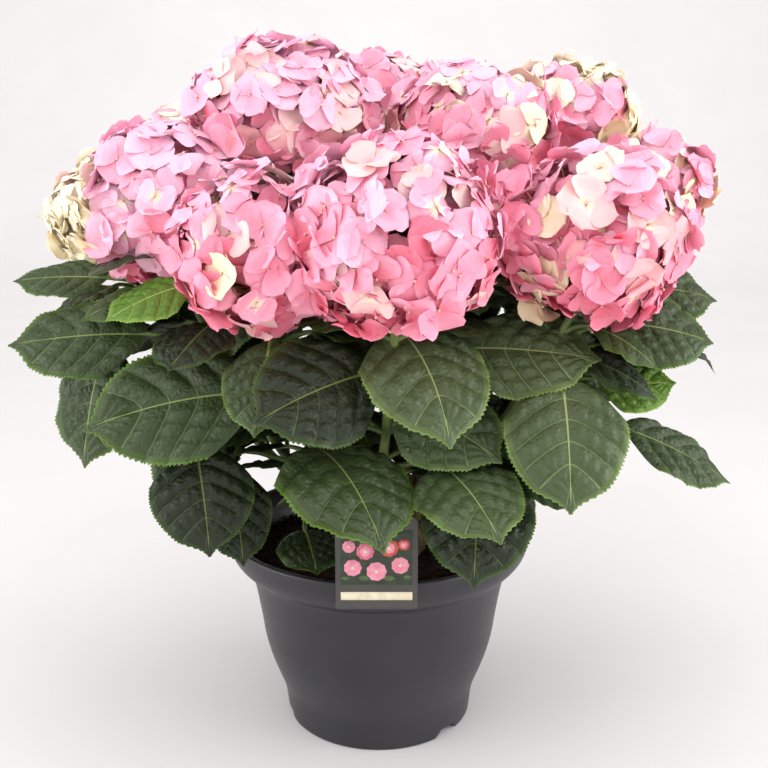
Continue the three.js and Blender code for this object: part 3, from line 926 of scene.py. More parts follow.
@dataclass(frozen=True)
class LeafRule:
    """The source's rule for where leaves stand."""

    seed: int = 7001
    petiole: float = 26
    petiole_rise: float = 0.35
    petiole_drop: float = 16
    heading_jitter: float = 16
    slope_jitter: float = 8
    length_jitter: float = 0.1
    roll: float = 14
    tries: int = 10
    turn_per_try: float = 33
    droop_per_try: float = 3
    shrink_per_try: float = 0.95
    width_share: float = 0.72
    lowest_root: float = 0.04
    highest_root: float = 0.9
    found_within: float = 1.0

    def skirt(self, cane: Cane) -> list[list[Leaf]]:
        """Lists the large leaves that a cane bears at the skirt.

        Args:
            cane: the cane.

        Returns:
            For each leaf, its one place.
        """
        leaves = []
        for name, at, heading, slope, roll, length, width in SKIRT_LEAVES:
            if name == cane.head.name:
                below = cane.along_at_height(at[2] - self.petiole_drop)
                start = min(max(below, cane.fork + self.lowest_root), self.highest_root)
                root = tuple(cane.point(start))
                leaves.append([Leaf(at, heading, slope, roll, length, width, root)])
        return leaves

    def pairs(self, cane: Cane, number: int) -> list[list[Leaf]]:
        """Lists the pairs of leaves that a cane bears by rule.

        Args:
            cane: the cane.
            number: its head's number in the order of heads.

        Returns:
            For each leaf, the places it may have taken.
        """
        draws = SeededDraws(self.seed + number)
        outward = math.degrees(cane.head.heading)
        leaves = []
        for (rise, spread, length, slope), hand in product(PAIRS, (-1, 1)):
            heading = outward + hand * spread + draws.jitter(self.heading_jitter)
            droop = draws.jitter(self.slope_jitter)
            size = length * (1 + draws.jitter(self.length_jitter))
            roll = draws.jitter(self.roll)
            root = cane.point(cane.fork + (1 - cane.fork) * rise)
            leaves.append([
                self.attempt(root, heading + hand * attempt * self.turn_per_try, slope,
                             droop - attempt * self.droop_per_try, roll,
                             size * self.shrink_per_try ** attempt)
                for attempt in range(self.tries)
            ])
        return leaves

    def attempt(
        self,
        root: np.ndarray,
        heading: float,
        slope: tuple[float, float],
        droop: float,
        roll: float,
        length: float,
    ) -> Leaf:
        """Places one leaf of a pair.

        Args:
            root: where its stalk leaves the stem.
            heading: its compass heading in degrees.
            slope: the midrib's slope at the base and at the tip.
            droop: degrees added to both slopes.
            roll: the blade's roll about its midrib.
            length: the blade's length.

        Returns:
            The leaf.
        """
        turn = math.radians(heading)
        at = (
            root[0] + self.petiole * math.cos(turn),
            root[1] + self.petiole * math.sin(turn),
            root[2] + self.petiole * self.petiole_rise,
        )
        slopes = (slope[0] + droop, slope[1] + droop)
        return Leaf(at, heading, slopes, roll, length, length * self.width_share, tuple(root))

    def standing(self, cane: Cane, number: int, corners: np.ndarray) -> list[Leaf]:
        """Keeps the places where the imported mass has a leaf's tip.

        Args:
            cane: the cane.
            number: its head's number in the order of heads.
            corners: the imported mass's vertices in millimetres.

        Returns:
            The leaves of that mass.
        """
        found = []
        for places in self.skirt(cane) + self.pairs(cane, number):
            for leaf in places:
                if np.linalg.norm(corners - leaf.tip, axis=1).min() < self.found_within:
                    found.append(leaf)
                    break
        return found


class LeafTone(Enum):
    """The greens that leaves are dealt out by."""

    DEEP = 0
    MIDDLE = 1
    # The grey tone is a lighter, greyer copy of the greens: a painted sheen for large leaves that
    # face the front.
    GREY = 2
    YOUNG = 3


LEAF_PARTS = ("blade", "vein", "midrib", "rim", "margin")
LEAF_COLOURS = {
    LeafTone.DEEP: ("202B15", "43552C", "6A7C40", "2A3B18", "415620"),
    LeafTone.MIDDLE: ("394826", "5F7144", "8A9A56", "425626", "58762A"),
    # The grey row paints the sheen of front-facing leaves into their colours.
    LeafTone.GREY: ("495936", "728654", "98AA6C", "56693A", "6C8642"),
    LeafTone.YOUNG: ("5C7E28", "86A450", "A6BE6C", "6E9234", "8AAC40"),
}
YOUNG_LEAVES = ((-150, -90, 424), (186, -66, 340))


@dataclass(frozen=True)
class Blade:
    """The shape of a hydrangea leaf's blade."""

    veins: int = 6
    row_shares: tuple[float, ...] = (0.0, 0.06, 0.17, 0.28, 0.39, 0.5, 0.61, 0.72, 0.83, 0.93)
    teeth: tuple[float, ...] = (0.15, 1.0, 0.0, 1.0, 0.0, 1.0, 0.0, 1.0, 0.0, 1.0)
    columns: int = 16
    sweep: float = 0.31
    base_fullness: float = 0.55
    tip_fullness: float = 0.76
    camber: float = 0.16
    tooth: float = 1.6
    quilt: float = 3.7
    ladder: float = 1.9
    rungs: float = 4.2
    wave: float = 2.6
    wave_turns: tuple[float, float] = (1.4, 2.6)
    midrib: float = 0.95
    midrib_taper: float = 0.75
    drip: tuple[float, float] = (0.829, 0.973)
    drip_depth: float = 0.62
    rib_end: float = 0.965
    tip_rows: tuple[float, float] = (0.98, 1.0)
    margin_from: float = 0.965
    sweep_power: float = 0.42
    sweep_bow: float = 1.45
    vein_taper: float = 0.5
    tooth_lean: float = 0.009
    lean_band: tuple[float, float] = (0.9, 1)
    tooth_band: tuple[float, float] = (0.93, 1)
    tooth_fade: float = 8
    relief_fade: float = 20
    bulge_power: float = 0.8
    bulge_band: tuple[float, float] = (0.02, 0.3)
    edge_band: tuple[float, float] = (0.7, 1)
    edge_calm: float = 0.65
    ladder_start: float = 0.4
    wave_power: float = 2.2
    camber_power: float = 1.6
    base_round: float = 0.24
    base_reach: float = 0.07
    groove: float = 0.9
    groove_width: float = 0.12
    usual_length: float = 120

    def half_width(self, leaf: Leaf, along: np.ndarray) -> np.ndarray:
        """Gives the blade's half width.

        Args:
            leaf: the leaf.
            along: shares of its length.

        Returns:
            Half widths in millimetres.
        """
        widest = self.base_fullness / (self.base_fullness + self.tip_fullness)
        base = (along / widest) ** self.base_fullness
        tip = ((1 - along) / (1 - widest)) ** self.tip_fullness
        drip = 1 - self.drip_depth * smooth(*self.drip, along)
        return leaf.width / 2 * base * tip * drip

    def grid(self, leaf: Leaf, draw: np.random.Generator) -> tuple[np.ndarray, np.ndarray]:
        """Works out the blade's points and which part of the leaf each face is.

        Args:
            leaf: the leaf.
            draw: the seeded generator.

        Returns:
            The grid of points, and for each face its number in LEAF_PARTS.
        """
        def by_row(values: np.ndarray | tuple[float, ...]) -> np.ndarray:
            """Repeats the rows' values for each vein, with 0 for the tip's rows."""
            return np.append(np.tile(values, self.veins), [0, 0])

        starts = np.linspace(0, self.rib_end, self.veins + 1)[:-1]
        steps_on = self.rib_end / self.veins * np.array(self.row_shares)
        at = np.append(starts[:, None] + steps_on, self.tip_rows)
        outer = np.minimum(at + self.sweep * (1 - at) ** self.sweep_power, 1.0)
        half = np.maximum(self.half_width(leaf, outer), 0)
        kinds = by_row(np.arange(len(self.row_shares)))
        rows = BladeRows(at, kinds, by_row(self.row_shares), by_row(self.teeth), half)
        edge = np.append(np.linspace(0, 1, self.columns - 1) ** 0.95 * self.margin_from, 1.0)
        rib = np.minimum(self.midrib * (1 - self.midrib_taper * at) / np.maximum(half, 1e-3), 0.6)
        across = rib[:, None] + (1 - rib[:, None]) * edge
        left, right = (self.side_points(leaf, rows, across, hand, draw) for hand in (1, -1))
        grid = np.concatenate([right[:, ::-1], left], 1)
        shade = np.zeros((grid.shape[0] - 1, grid.shape[1] - 1), int)
        ribbed = (kinds[:-1] == 0) & (at[:-1] > 0.01) & (at[:-1] < self.rib_end)
        shade[ribbed] = LEAF_PARTS.index("vein")
        shade[:, [1, -2]] = LEAF_PARTS.index("rim")
        shade[:, [0, -1]] = LEAF_PARTS.index("margin")
        shade[:, self.columns - 1] = LEAF_PARTS.index("midrib")
        return grid, shade

    def side_points(
        self,
        leaf: Leaf,
        rows: "BladeRows",
        across: np.ndarray,
        hand: int,
        draw: np.random.Generator,
    ) -> np.ndarray:
        """Lays out one half of the blade.

        Args:
            leaf: the leaf.
            rows: the blade's rows.
            across: how far out each point is, from 0 to 1.
            hand: 1 for the left half and -1 for the right.
            draw: the seeded generator.

        Returns:
            The half's points, from the midrib out.
        """
        scale = leaf.length / self.usual_length
        at, half, tooth = rows.at[:, None], rows.half[:, None], rows.tooth[:, None]
        vein_width = self.row_shares[1] * self.rib_end / self.veins
        start = at - np.where(rows.kind == 1, vein_width * self.vein_taper, 0)[:, None] * across
        reach = self.sweep * np.maximum(1 - start, 0) ** self.sweep_power
        lean = tooth * self.tooth_lean * smooth(*self.lean_band, across)
        along = np.minimum(start + reach * across ** self.sweep_bow + lean, 1)

        power = 1 - self.base_round * np.exp(-at / self.base_reach)
        stand_out = (tooth - 0.5) * self.tooth * scale * smooth(*self.tooth_band, across)
        lateral = half * across ** power + stand_out * np.minimum(half / self.tooth_fade, 1)

        fade = np.minimum(half / self.relief_fade, 1)
        bulge = np.sin(np.pi * np.clip(rows.share, 0, 1))[:, None] ** self.bulge_power
        body = 1 - self.edge_calm * smooth(*self.edge_band, across)
        body = smooth(*self.bulge_band, across) * body
        phase = draw.uniform(0, 2 * np.pi, self.veins + 1)
        interval = np.minimum((at * self.veins / self.rib_end).astype(int), self.veins)
        rungs = self.ladder * np.sin(2 * np.pi * self.rungs * across + phase[interval])
        relief = (self.quilt + rungs * (self.ladder_start + across)) * bulge * body * fade
        relief = relief - self.groove * (1 - smooth(0, self.groove_width, across))
        swing = draw.uniform(0, 2 * np.pi)
        turns = draw.uniform(*self.wave_turns)
        wave = self.wave * np.sin(2 * np.pi * turns * along + swing)
        relief = relief + wave * across ** self.wave_power * fade
        lift = relief * scale - self.camber * half * across ** self.camber_power
        point, _, side, normal = leaf.frame(along)
        return point + side * (hand * lateral)[..., None] + normal * lift[..., None]


@dataclass(frozen=True)
class BladeRows:
    """A blade's rows from the midrib out to the margin, with one number in a field for each.

    The fields say where a row leaves the midrib, its number between two veins, its share of the
    way to the next vein, whether it ends in a tooth, and the half width where it ends.
    """

    at: np.ndarray
    kind: np.ndarray
    share: np.ndarray
    tooth: np.ndarray
    half: np.ndarray


@dataclass(frozen=True)
class ShadeLeaves:
    """Small leaves between the large ones, which fill the shade under the heads.

    The reach is the crown's half width and half depth. A tip stays within it, behind the front
    reach and above the hem.
    """

    rises: tuple[float, ...] = (0.08, 0.2, 0.35, 0.5, 0.65, 0.78, 0.92)
    spreads: tuple[float, ...] = (20, 75, 130)
    length: tuple[float, float] = (58, 88)
    slope: tuple[float, float] = (-4, -42)
    tries: int = 7
    reach: tuple[float, float] = (262, 236)
    front_reach: float = 118
    hem: float = 196
    gap: float = 8
    samples: int = 6
    heading_jitter: float = 18
    droop_jitter: float = 10
    roll_jitter: float = 16
    turn_per_try: float = 19
    rise_per_try: float = 4
    shrink_per_try: float = 0.96

    def sampled(self, leaf: Leaf) -> np.ndarray:
        """Samples points over a leaf's blade."""
        along = np.linspace(0.05, 1, self.samples)
        point, _, side, _ = leaf.frame(along)
        half = np.sin(np.pi * np.minimum(along ** 0.8, 1)) * leaf.width / 2
        spread = np.array([-0.8, -0.4, 0, 0.4, 0.8])
        return (point[:, None] + side[:, None] * (half[:, None] * spread)[..., None]).reshape(-1, 3)

    def within(self, leaf: Leaf) -> bool:
        """Tells whether a leaf's tip stays inside the crown."""
        x, y, z = leaf.tip
        inside = math.hypot(x / self.reach[0], y / self.reach[1]) < 1
        return inside and y > -self.front_reach and z > self.hem

    def clear(self, cover: np.ndarray, taken: np.ndarray) -> bool:
        """Tells whether points on a leaf keep the gap to the points that are taken."""
        near = taken[np.abs(taken - cover.mean(0)).max(1) < self.length[1]]
        return not len(near) or np.linalg.norm(cover[:, None] - near, axis=2).min() > self.gap

    def grow(
        self,
        canes: list[Cane],
        rule: LeafRule,
        taken: np.ndarray,
        draw: np.random.Generator,
    ) -> dict[str, list[Leaf]]:
        """Places the small leaves, each clear of those before it.

        Args:
            canes: the canes that bear them.
            rule: the rule for a leaf's place.
            taken: points on the leaves that stand already.
            draw: the seeded generator.

        Returns:
            For each head's name, its small leaves.
        """
        grown = {cane.head.name: [] for cane in canes}
        for rise, cane, spread, hand in product(self.rises, canes, self.spreads, (-1, 1)):
            root = cane.point(cane.fork + (1 - cane.fork) * rise)
            heading = math.degrees(cane.head.heading) + hand * spread
            heading += jitter(draw, self.heading_jitter)
            length = draw.uniform(*self.length)
            droop, roll = jitter(draw, self.droop_jitter), jitter(draw, self.roll_jitter)
            for attempt in range(self.tries):
                leaf = rule.attempt(root, heading + hand * attempt * self.turn_per_try, self.slope,
                                    droop + attempt * self.rise_per_try, roll,
                                    length * self.shrink_per_try ** attempt)
                cover = self.sampled(leaf)
                if self.within(leaf) and self.clear(cover, taken):
                    grown[cane.head.name].append(leaf)
                    taken = np.concatenate([taken, cover])
                    break
        return grown


@dataclass
class Foliage:
    """The leaves with their stalks, and the green stems that bear them."""

    canes: list[Cane]
    masses: dict[str, np.ndarray]
    rule: LeafRule = field(default_factory=LeafRule)
    blade: Blade = field(default_factory=Blade)
    small_blade: Blade = field(default_factory=lambda: Blade(
        veins=5, row_shares=(0.0, 0.08, 0.36, 0.68), teeth=(0.2, 1.0, 0.0, 1.0), columns=7,
        rungs=2))
    shade_leaves: ShadeLeaves = field(default_factory=ShadeLeaves)
    seed: int = 53
    stalk_radius: float = 2.3
    stalk_bend: float = 0.45
    stalk_rings: int = 8
    stalk_taper: tuple[float, float] = (1.25, 0.85)
    stalk_runs_on: tuple[float, float] = (0.12, 0.3)
    stalk_below: float = 1.7
    stem_rings: int = 32
    node_swell: float = 0.7
    node_reach: float = 5
    # Large front-facing leaves past this length take the grey tone by this chance: a painted sheen.
    painted_sheen_length: float = 95
    painted_sheen_chance: float = 0.3
    middle_chance: float = 0.72
    # Small leaves in the shade under the heads take the deep green by this chance: painted shade.
    small_leaf_painted_shade_chance: float = 0.6

    def tone(self, leaf: Leaf, draw: np.random.Generator) -> LeafTone:
        """Deals out a leaf's green, with a painted sheen on some large leaves that face the front.

        Args:
            leaf: the leaf.
            draw: the seeded generator.

        Returns:
            Its tone.
        """
        chance = draw.uniform()
        if leaf.at in YOUNG_LEAVES:
            return LeafTone.YOUNG
        # Large leaves that face the front may take the grey tone, which paints their sheen into the
        # colour.
        faces_front = leaf.heading % 360 > 180
        if faces_front and leaf.length > self.painted_sheen_length and chance < self.painted_sheen_chance:
            return LeafTone.GREY
        return LeafTone.MIDDLE if chance < self.middle_chance else LeafTone.DEEP

    def build(self) -> None:
        """Builds every leaf, stalk and green stem."""
        draw = np.random.default_rng(self.seed)
        finishes = [
            (BLADE if part == "blade" else VEIN).coloured(f"{part}_{tone.name.lower()}", code)
            for tone, codes in LEAF_COLOURS.items() for part, code in zip(LEAF_PARTS, codes)
        ]
        materials = [finish.material() for finish in finishes]
        batches = {side: MeshBatch(f"leaves_{side.value}", materials, "leaf") for side in Side}
        green = Finish(
            "green_stem", ("4A5E2C", "62763A", "7A8A48"), (0.45, 0.6), 60, 0.0004, 400,
            stretch=(1, 1, 0.3),
        )
        stems = MeshBatch("green_stems", [green.material()], "leaf")
        large = {
            cane.head.name: self.rule.standing(cane, number, self.masses[cane.head.name])
            for number, cane in enumerate(self.canes)
        }
        taken = np.concatenate([
            self.shade_leaves.sampled(leaf) for leaves in large.values() for leaf in leaves])
        small = self.shade_leaves.grow(self.canes, self.rule, taken, draw)
        for cane in self.canes:
            name, side = cane.head.name, cane.head.side
            for leaf in large[name]:
                grid, shade = self.blade.grid(leaf, draw)
                batches[side].add_grid(grid, shade + self.tone(leaf, draw).value * len(LEAF_PARTS))
            for leaf in small[name]:
                grid, shade = self.small_blade.grid(leaf, draw)
                # Small leaves under the heads take the deep green more often than large ones:
                # painted shade.
                deep = draw.uniform() < self.small_leaf_painted_shade_chance
                tone = LeafTone.DEEP if deep else LeafTone.MIDDLE
                batches[side].add_grid(grid, shade + tone.value * len(LEAF_PARTS))
            for leaf in large[name] + small[name]:
                stems.add_grid(self.stalk(leaf), ring=True)
            stems.add_grid(self.stem(cane, large[name]), ring=True)
        LOG.info("leaves: %d large, %d small", sum(map(len, large.values())),
                 sum(map(len, small.values())))
        for side, batch in batches.items():
            batch.build(names_of(side, "foliage_"))
        stems.build([f"foliage_{head.name}" for head in HEADS])

    def stalk(self, leaf: Leaf) -> np.ndarray:
        """Bends a leaf's stalk from the stem to a little way under the blade.

        Args:
            leaf: the leaf.

        Returns:
            A grid of rings.
        """
        point, tangent, _, normal = leaf.frame(np.array([0.0, *self.stalk_runs_on]))
        root = np.array(leaf.root)
        reach = np.linalg.norm(point[0] - root)
        bend = point[0] - tangent[0] * reach * self.stalk_bend
        path = bent(np.stack([root, bend, point[0]]), np.linspace(0, 1, self.stalk_rings))
        path = np.concatenate([path, point[1:] - normal[1:] * self.stalk_below])
        taper = np.append(np.linspace(*self.stalk_taper, self.stalk_rings), [0.5, 0.2])
        return tube(path, taper * self.stalk_radius, 6, closed=True)

    def stem(self, cane: Cane, leaves: list[Leaf]) -> np.ndarray:
        """Runs a green stem from the fork to its head, swollen where leaves stand.

        Args:
            cane: the cane.
            leaves: the leaves on it.

        Returns:
            A grid of rings.
        """
        path = cane.point(np.linspace(cane.fork, 1, self.stem_rings))
        radii = np.linspace(cane.fork_radius, cane.tip_radius, self.stem_rings)
        for leaf in leaves:
            away = np.linalg.norm(path - np.array(leaf.root), axis=1)
            radii = radii + self.node_swell * np.exp(-((away / self.node_reach) ** 2))
        return tube(path, radii, 10, closed=True)


@dataclass
class Boughs:
    """The woody foot and the bark-covered lower canes."""

    canes: list[Cane]
    seat: float = 163
    crown_profile: tuple[tuple[float, float], ...] = (
        (0, 0.3), (45.5, 0.3), (46, 1.6), (43.4, 4.6), (41.6, 7.6), (39.4, 12), (36, 17),
        (31, 20.2), (24, 21.3), (12, 21.9), (0, 22),
    )
    crown_sides: int = 60
    rings: int = 26
    sides: int = 16
    overlap: float = 0.01
    ribs: float = 0.035
    swell: float = 0.05
    knobs: tuple[tuple[float, int, float], ...] = ((0.05, 7, 1), (0.035, 13, 0))
    knob_jitter: float = 0.012
    widest_knob: float = 1.04
    seed: int = 77

    def build(self) -> None:
        """Makes the foot and the canes in one piece of bark."""
        draw = np.random.default_rng(self.seed)
        bark = Finish(
            "cane_bark", ("4A3B26", "6A5A3A", "7C7248"), (0.7, 0.9), 55, 0.0016, 260,
            pattern=Pattern.STREAKED, stretch=(1, 1, 0.22), specular=0.25,
        )
        batch = MeshBatch("bark", [bark.material()], "bark")
        for cane in self.canes:
            path = cane.point(np.linspace(0, cane.fork + self.overlap, self.rings))
            radii = np.linspace(cane.foot_radius, cane.fork_radius, self.rings)
            swells = np.sin(np.linspace(0, 9, self.rings) + draw.uniform(0, 6))
            ribs = 1 + draw.normal(0, self.ribs, (self.rings, self.sides))
            radii = radii * (1 + self.swell * swells)
            batch.add_grid(tube(path, radii, self.sides, ribs), ring=True)
        self.add_crown(batch, draw)
        nodes = [f"cane_{cane.head.name}" for cane in self.canes] + ["woody_foot"]
        batch.build(nodes)

    def add_crown(self, batch: MeshBatch, draw: np.random.Generator) -> None:
        """Adds the knobbly foot.

        Args:
            batch: the piece that takes it.
            draw: the seeded generator.
        """
        turn = full_turn(self.crown_sides)
        profile = np.array(self.crown_profile)
        knobs = 1 + sum(size * np.sin(waves * turn + shift) for size, waves, shift in self.knobs)
        knobs = knobs + draw.normal(0, self.knob_jitter, (len(profile), self.crown_sides))
        radius = profile[:, :1] * np.minimum(knobs, self.widest_knob)
        batch.add_grid(turned(radius, profile[:, 1:] + self.seat, turn), ring=True)


class Tint(Enum):
    """The colour family of a floret."""

    PINK = 0
    PEACH = 1
    CREAM = 2


# The steps run from light to deep. A floret's step is partly its own tone and partly painted light
# and shade: lighter facing up, deeper in the inner layer.
PETAL_COLOURS = {
    Tint.PINK: steps(("FDCDE0", "FCB6CC", "FBA0B6", "F9889E", "F47088", "E25A72"), 14),
    Tint.PEACH: steps(("FBDAD6", "FAC8C6", "F9B4B8", "F69CA6"), 7),
    Tint.CREAM: steps(("FCF3DC", "FAEDCA", "F8E5BE", "F8D8C4"), 5),
}
PALE_PATCHES = (
    ((-62, -180, 408), 20), ((150, -160, 400), 30), ((128, -40, 600), 22), ((-270, -8, 474), 64),
)


def first_number(tint: Tint) -> int:
    """Gives the material number of a colour family's lightest shade."""
    return sum(len(PETAL_COLOURS[other]) for other in Tint if other.value < tint.value)


@dataclass(frozen=True)
class Floret:
    """Four broad short-pointed sepals round a small bead."""

    length: float = 22.5
    width: float = 28
    crease: float = 0.16
    ripple: float = 2.2
    bead: float = 1.35
    rows: int = 7
    columns: int = 7
    heart_rise: float = 1.8
    heart_fall: float = 3.2
    edge_fall: float = 1.2
    heart_reach: float = 0.5
    heart_pinch: float = 0.2
    edge_from: float = 0.45
    peach_from: float = 0.72
    cream_from: float = 0.9
    length_spread: tuple[float, float] = (0.9, 1.06)
    lean: float = 0.14
    curl: tuple[float, float] = (-0.75, 0.25)
    fold: tuple[float, float] = (-0.5, 1.3)
    waves: tuple[float, float] = (0.7, 1.7)
    notch: float = 0.06
    cup: tuple[float, float] = (-0.35, 0.45)
    cup_jitter: float = 0.2
    fullness: tuple[float, float] = (0.5, 0.78)
    pale_heart: float = 0.2
    turn_jitter: float = 9
    lap: float = 0.9
    tone_jitter: float = 0.6

    def outline(self, share: np.ndarray, fullness: float) -> np.ndarray:
        """Gives a sepal's half width along it, rounder for a smaller fullness."""
        return self.width / 2 * np.sin(np.pi * np.clip(share, 0, 1) ** 1.22) ** fullness

    def sepal(
        self, draw: np.random.Generator, cup: float, size: float, fullness: float
    ) -> np.ndarray:
        """Shapes one sepal that points along X.

        Args:
            draw: the seeded generator.
            cup: how steeply it rises, in radians.
            size: a factor on its length and width.
            fullness: how round it is, smaller for rounder.

        Returns:
            The grid of points.
        """
        share = (1 - (1 - np.linspace(0.03, 1, self.rows)) ** 1.35)[:, None]
        across = np.linspace(-1, 1, self.columns)[None, :]
        half = self.outline(share, fullness) * size
        length = self.length * size * draw.uniform(*self.length_spread)
        lean = jitter(draw, self.lean)
        angle = cup + draw.uniform(*self.curl) * share ** 1.3
        y = half * across + lean * length * share ** 2
        fold = draw.uniform(*self.fold) * self.crease
        swing = draw.uniform(0, 2 * np.pi)
        waves = draw.uniform(*self.waves)
        ruffle = np.sin(2 * np.pi * waves * share + swing + 1.5 * np.sign(across))
        ruffle = self.ripple * size * np.abs(across) ** 1.7 * share * ruffle
        x = length * share * (np.cos(angle) - self.notch * across ** 2)
        return np.stack([x, y, length * share * np.sin(angle) + fold * np.abs(y) + ruffle], -1)

    def shades(self, tone: float, tint: Tint, pale_heart: bool) -> np.ndarray:
        """Deals out one sepal's colours from its heart to its edge.

        Args:
            tone: how deep its body's colour is, 0 for the lightest, with painted light and shade
                from the floret's facing and layer in it.
            tint: its colour family.
            pale_heart: whether its heart is cream.

        Returns:
            The material number of each face.
        """
        rows = ((np.arange(self.rows - 1) + 0.5) / (self.rows - 1))[:, None]
        across = np.abs((np.arange(self.columns - 1) + 0.5) / (self.columns - 1) * 2 - 1)[None, :]
        heart = 1 - smooth(0.0, self.heart_reach - self.heart_pinch * across, rows)
        level = tone + (-self.heart_fall if pale_heart else self.heart_rise) * heart
        level = level - self.edge_fall * smooth(self.edge_from, 1, np.maximum(rows, across * 0.9))
        count = len(PETAL_COLOURS[tint])
        shade = np.clip(np.round(level * count / len(PETAL_COLOURS[Tint.PINK])), 0, count - 1)
        shade = shade + first_number(tint)
        if pale_heart:
            shade = np.where(heart > self.peach_from, first_number(Tint.PEACH), shade)
            shade = np.where(heart > self.cream_from, first_number(Tint.CREAM) + 3, shade)
        return shade.astype(int)

    def add(
        self,
        batch: MeshBatch,
        draw: np.random.Generator,
        eye: np.ndarray,
        outward: np.ndarray,
        size: float,
        tone: float,
        tint: Tint,
    ) -> None:
        """Adds one floret to a piece.

        Args:
            batch: the piece that takes it.
            draw: the seeded generator.
            eye: its centre.
            outward: the way it faces.
            size: a factor on its size.
            tone: how deep its colour is, 0 for the lightest, with painted light and shade from its
                facing and its layer in the head.
            tint: its colour family.
        """
        across = unit(np.cross(outward, draw.normal(0, 1, 3)))
        basis = np.stack([across, np.cross(outward, across), outward])
        cup = draw.uniform(*self.cup)
        fullness = draw.uniform(*self.fullness)
        pale_heart = draw.uniform() < self.pale_heart
        for quarter in range(4):
            turn = math.radians(quarter * 90 + jitter(draw, self.turn_jitter))
            rise = cup + jitter(draw, self.cup_jitter)
            x, y, z = np.moveaxis(self.sepal(draw, rise, size, fullness), -1, 0)
            turned_x = x * math.cos(turn) - y * math.sin(turn)
            turned_y = x * math.sin(turn) + y * math.cos(turn)
            grid = np.stack([turned_x, turned_y, z + quarter % 2 * self.lap * size], -1)
            shade = self.shades(tone + draw.normal(0, self.tone_jitter), tint, pale_heart)
            batch.add_grid(grid @ basis + eye, shade)


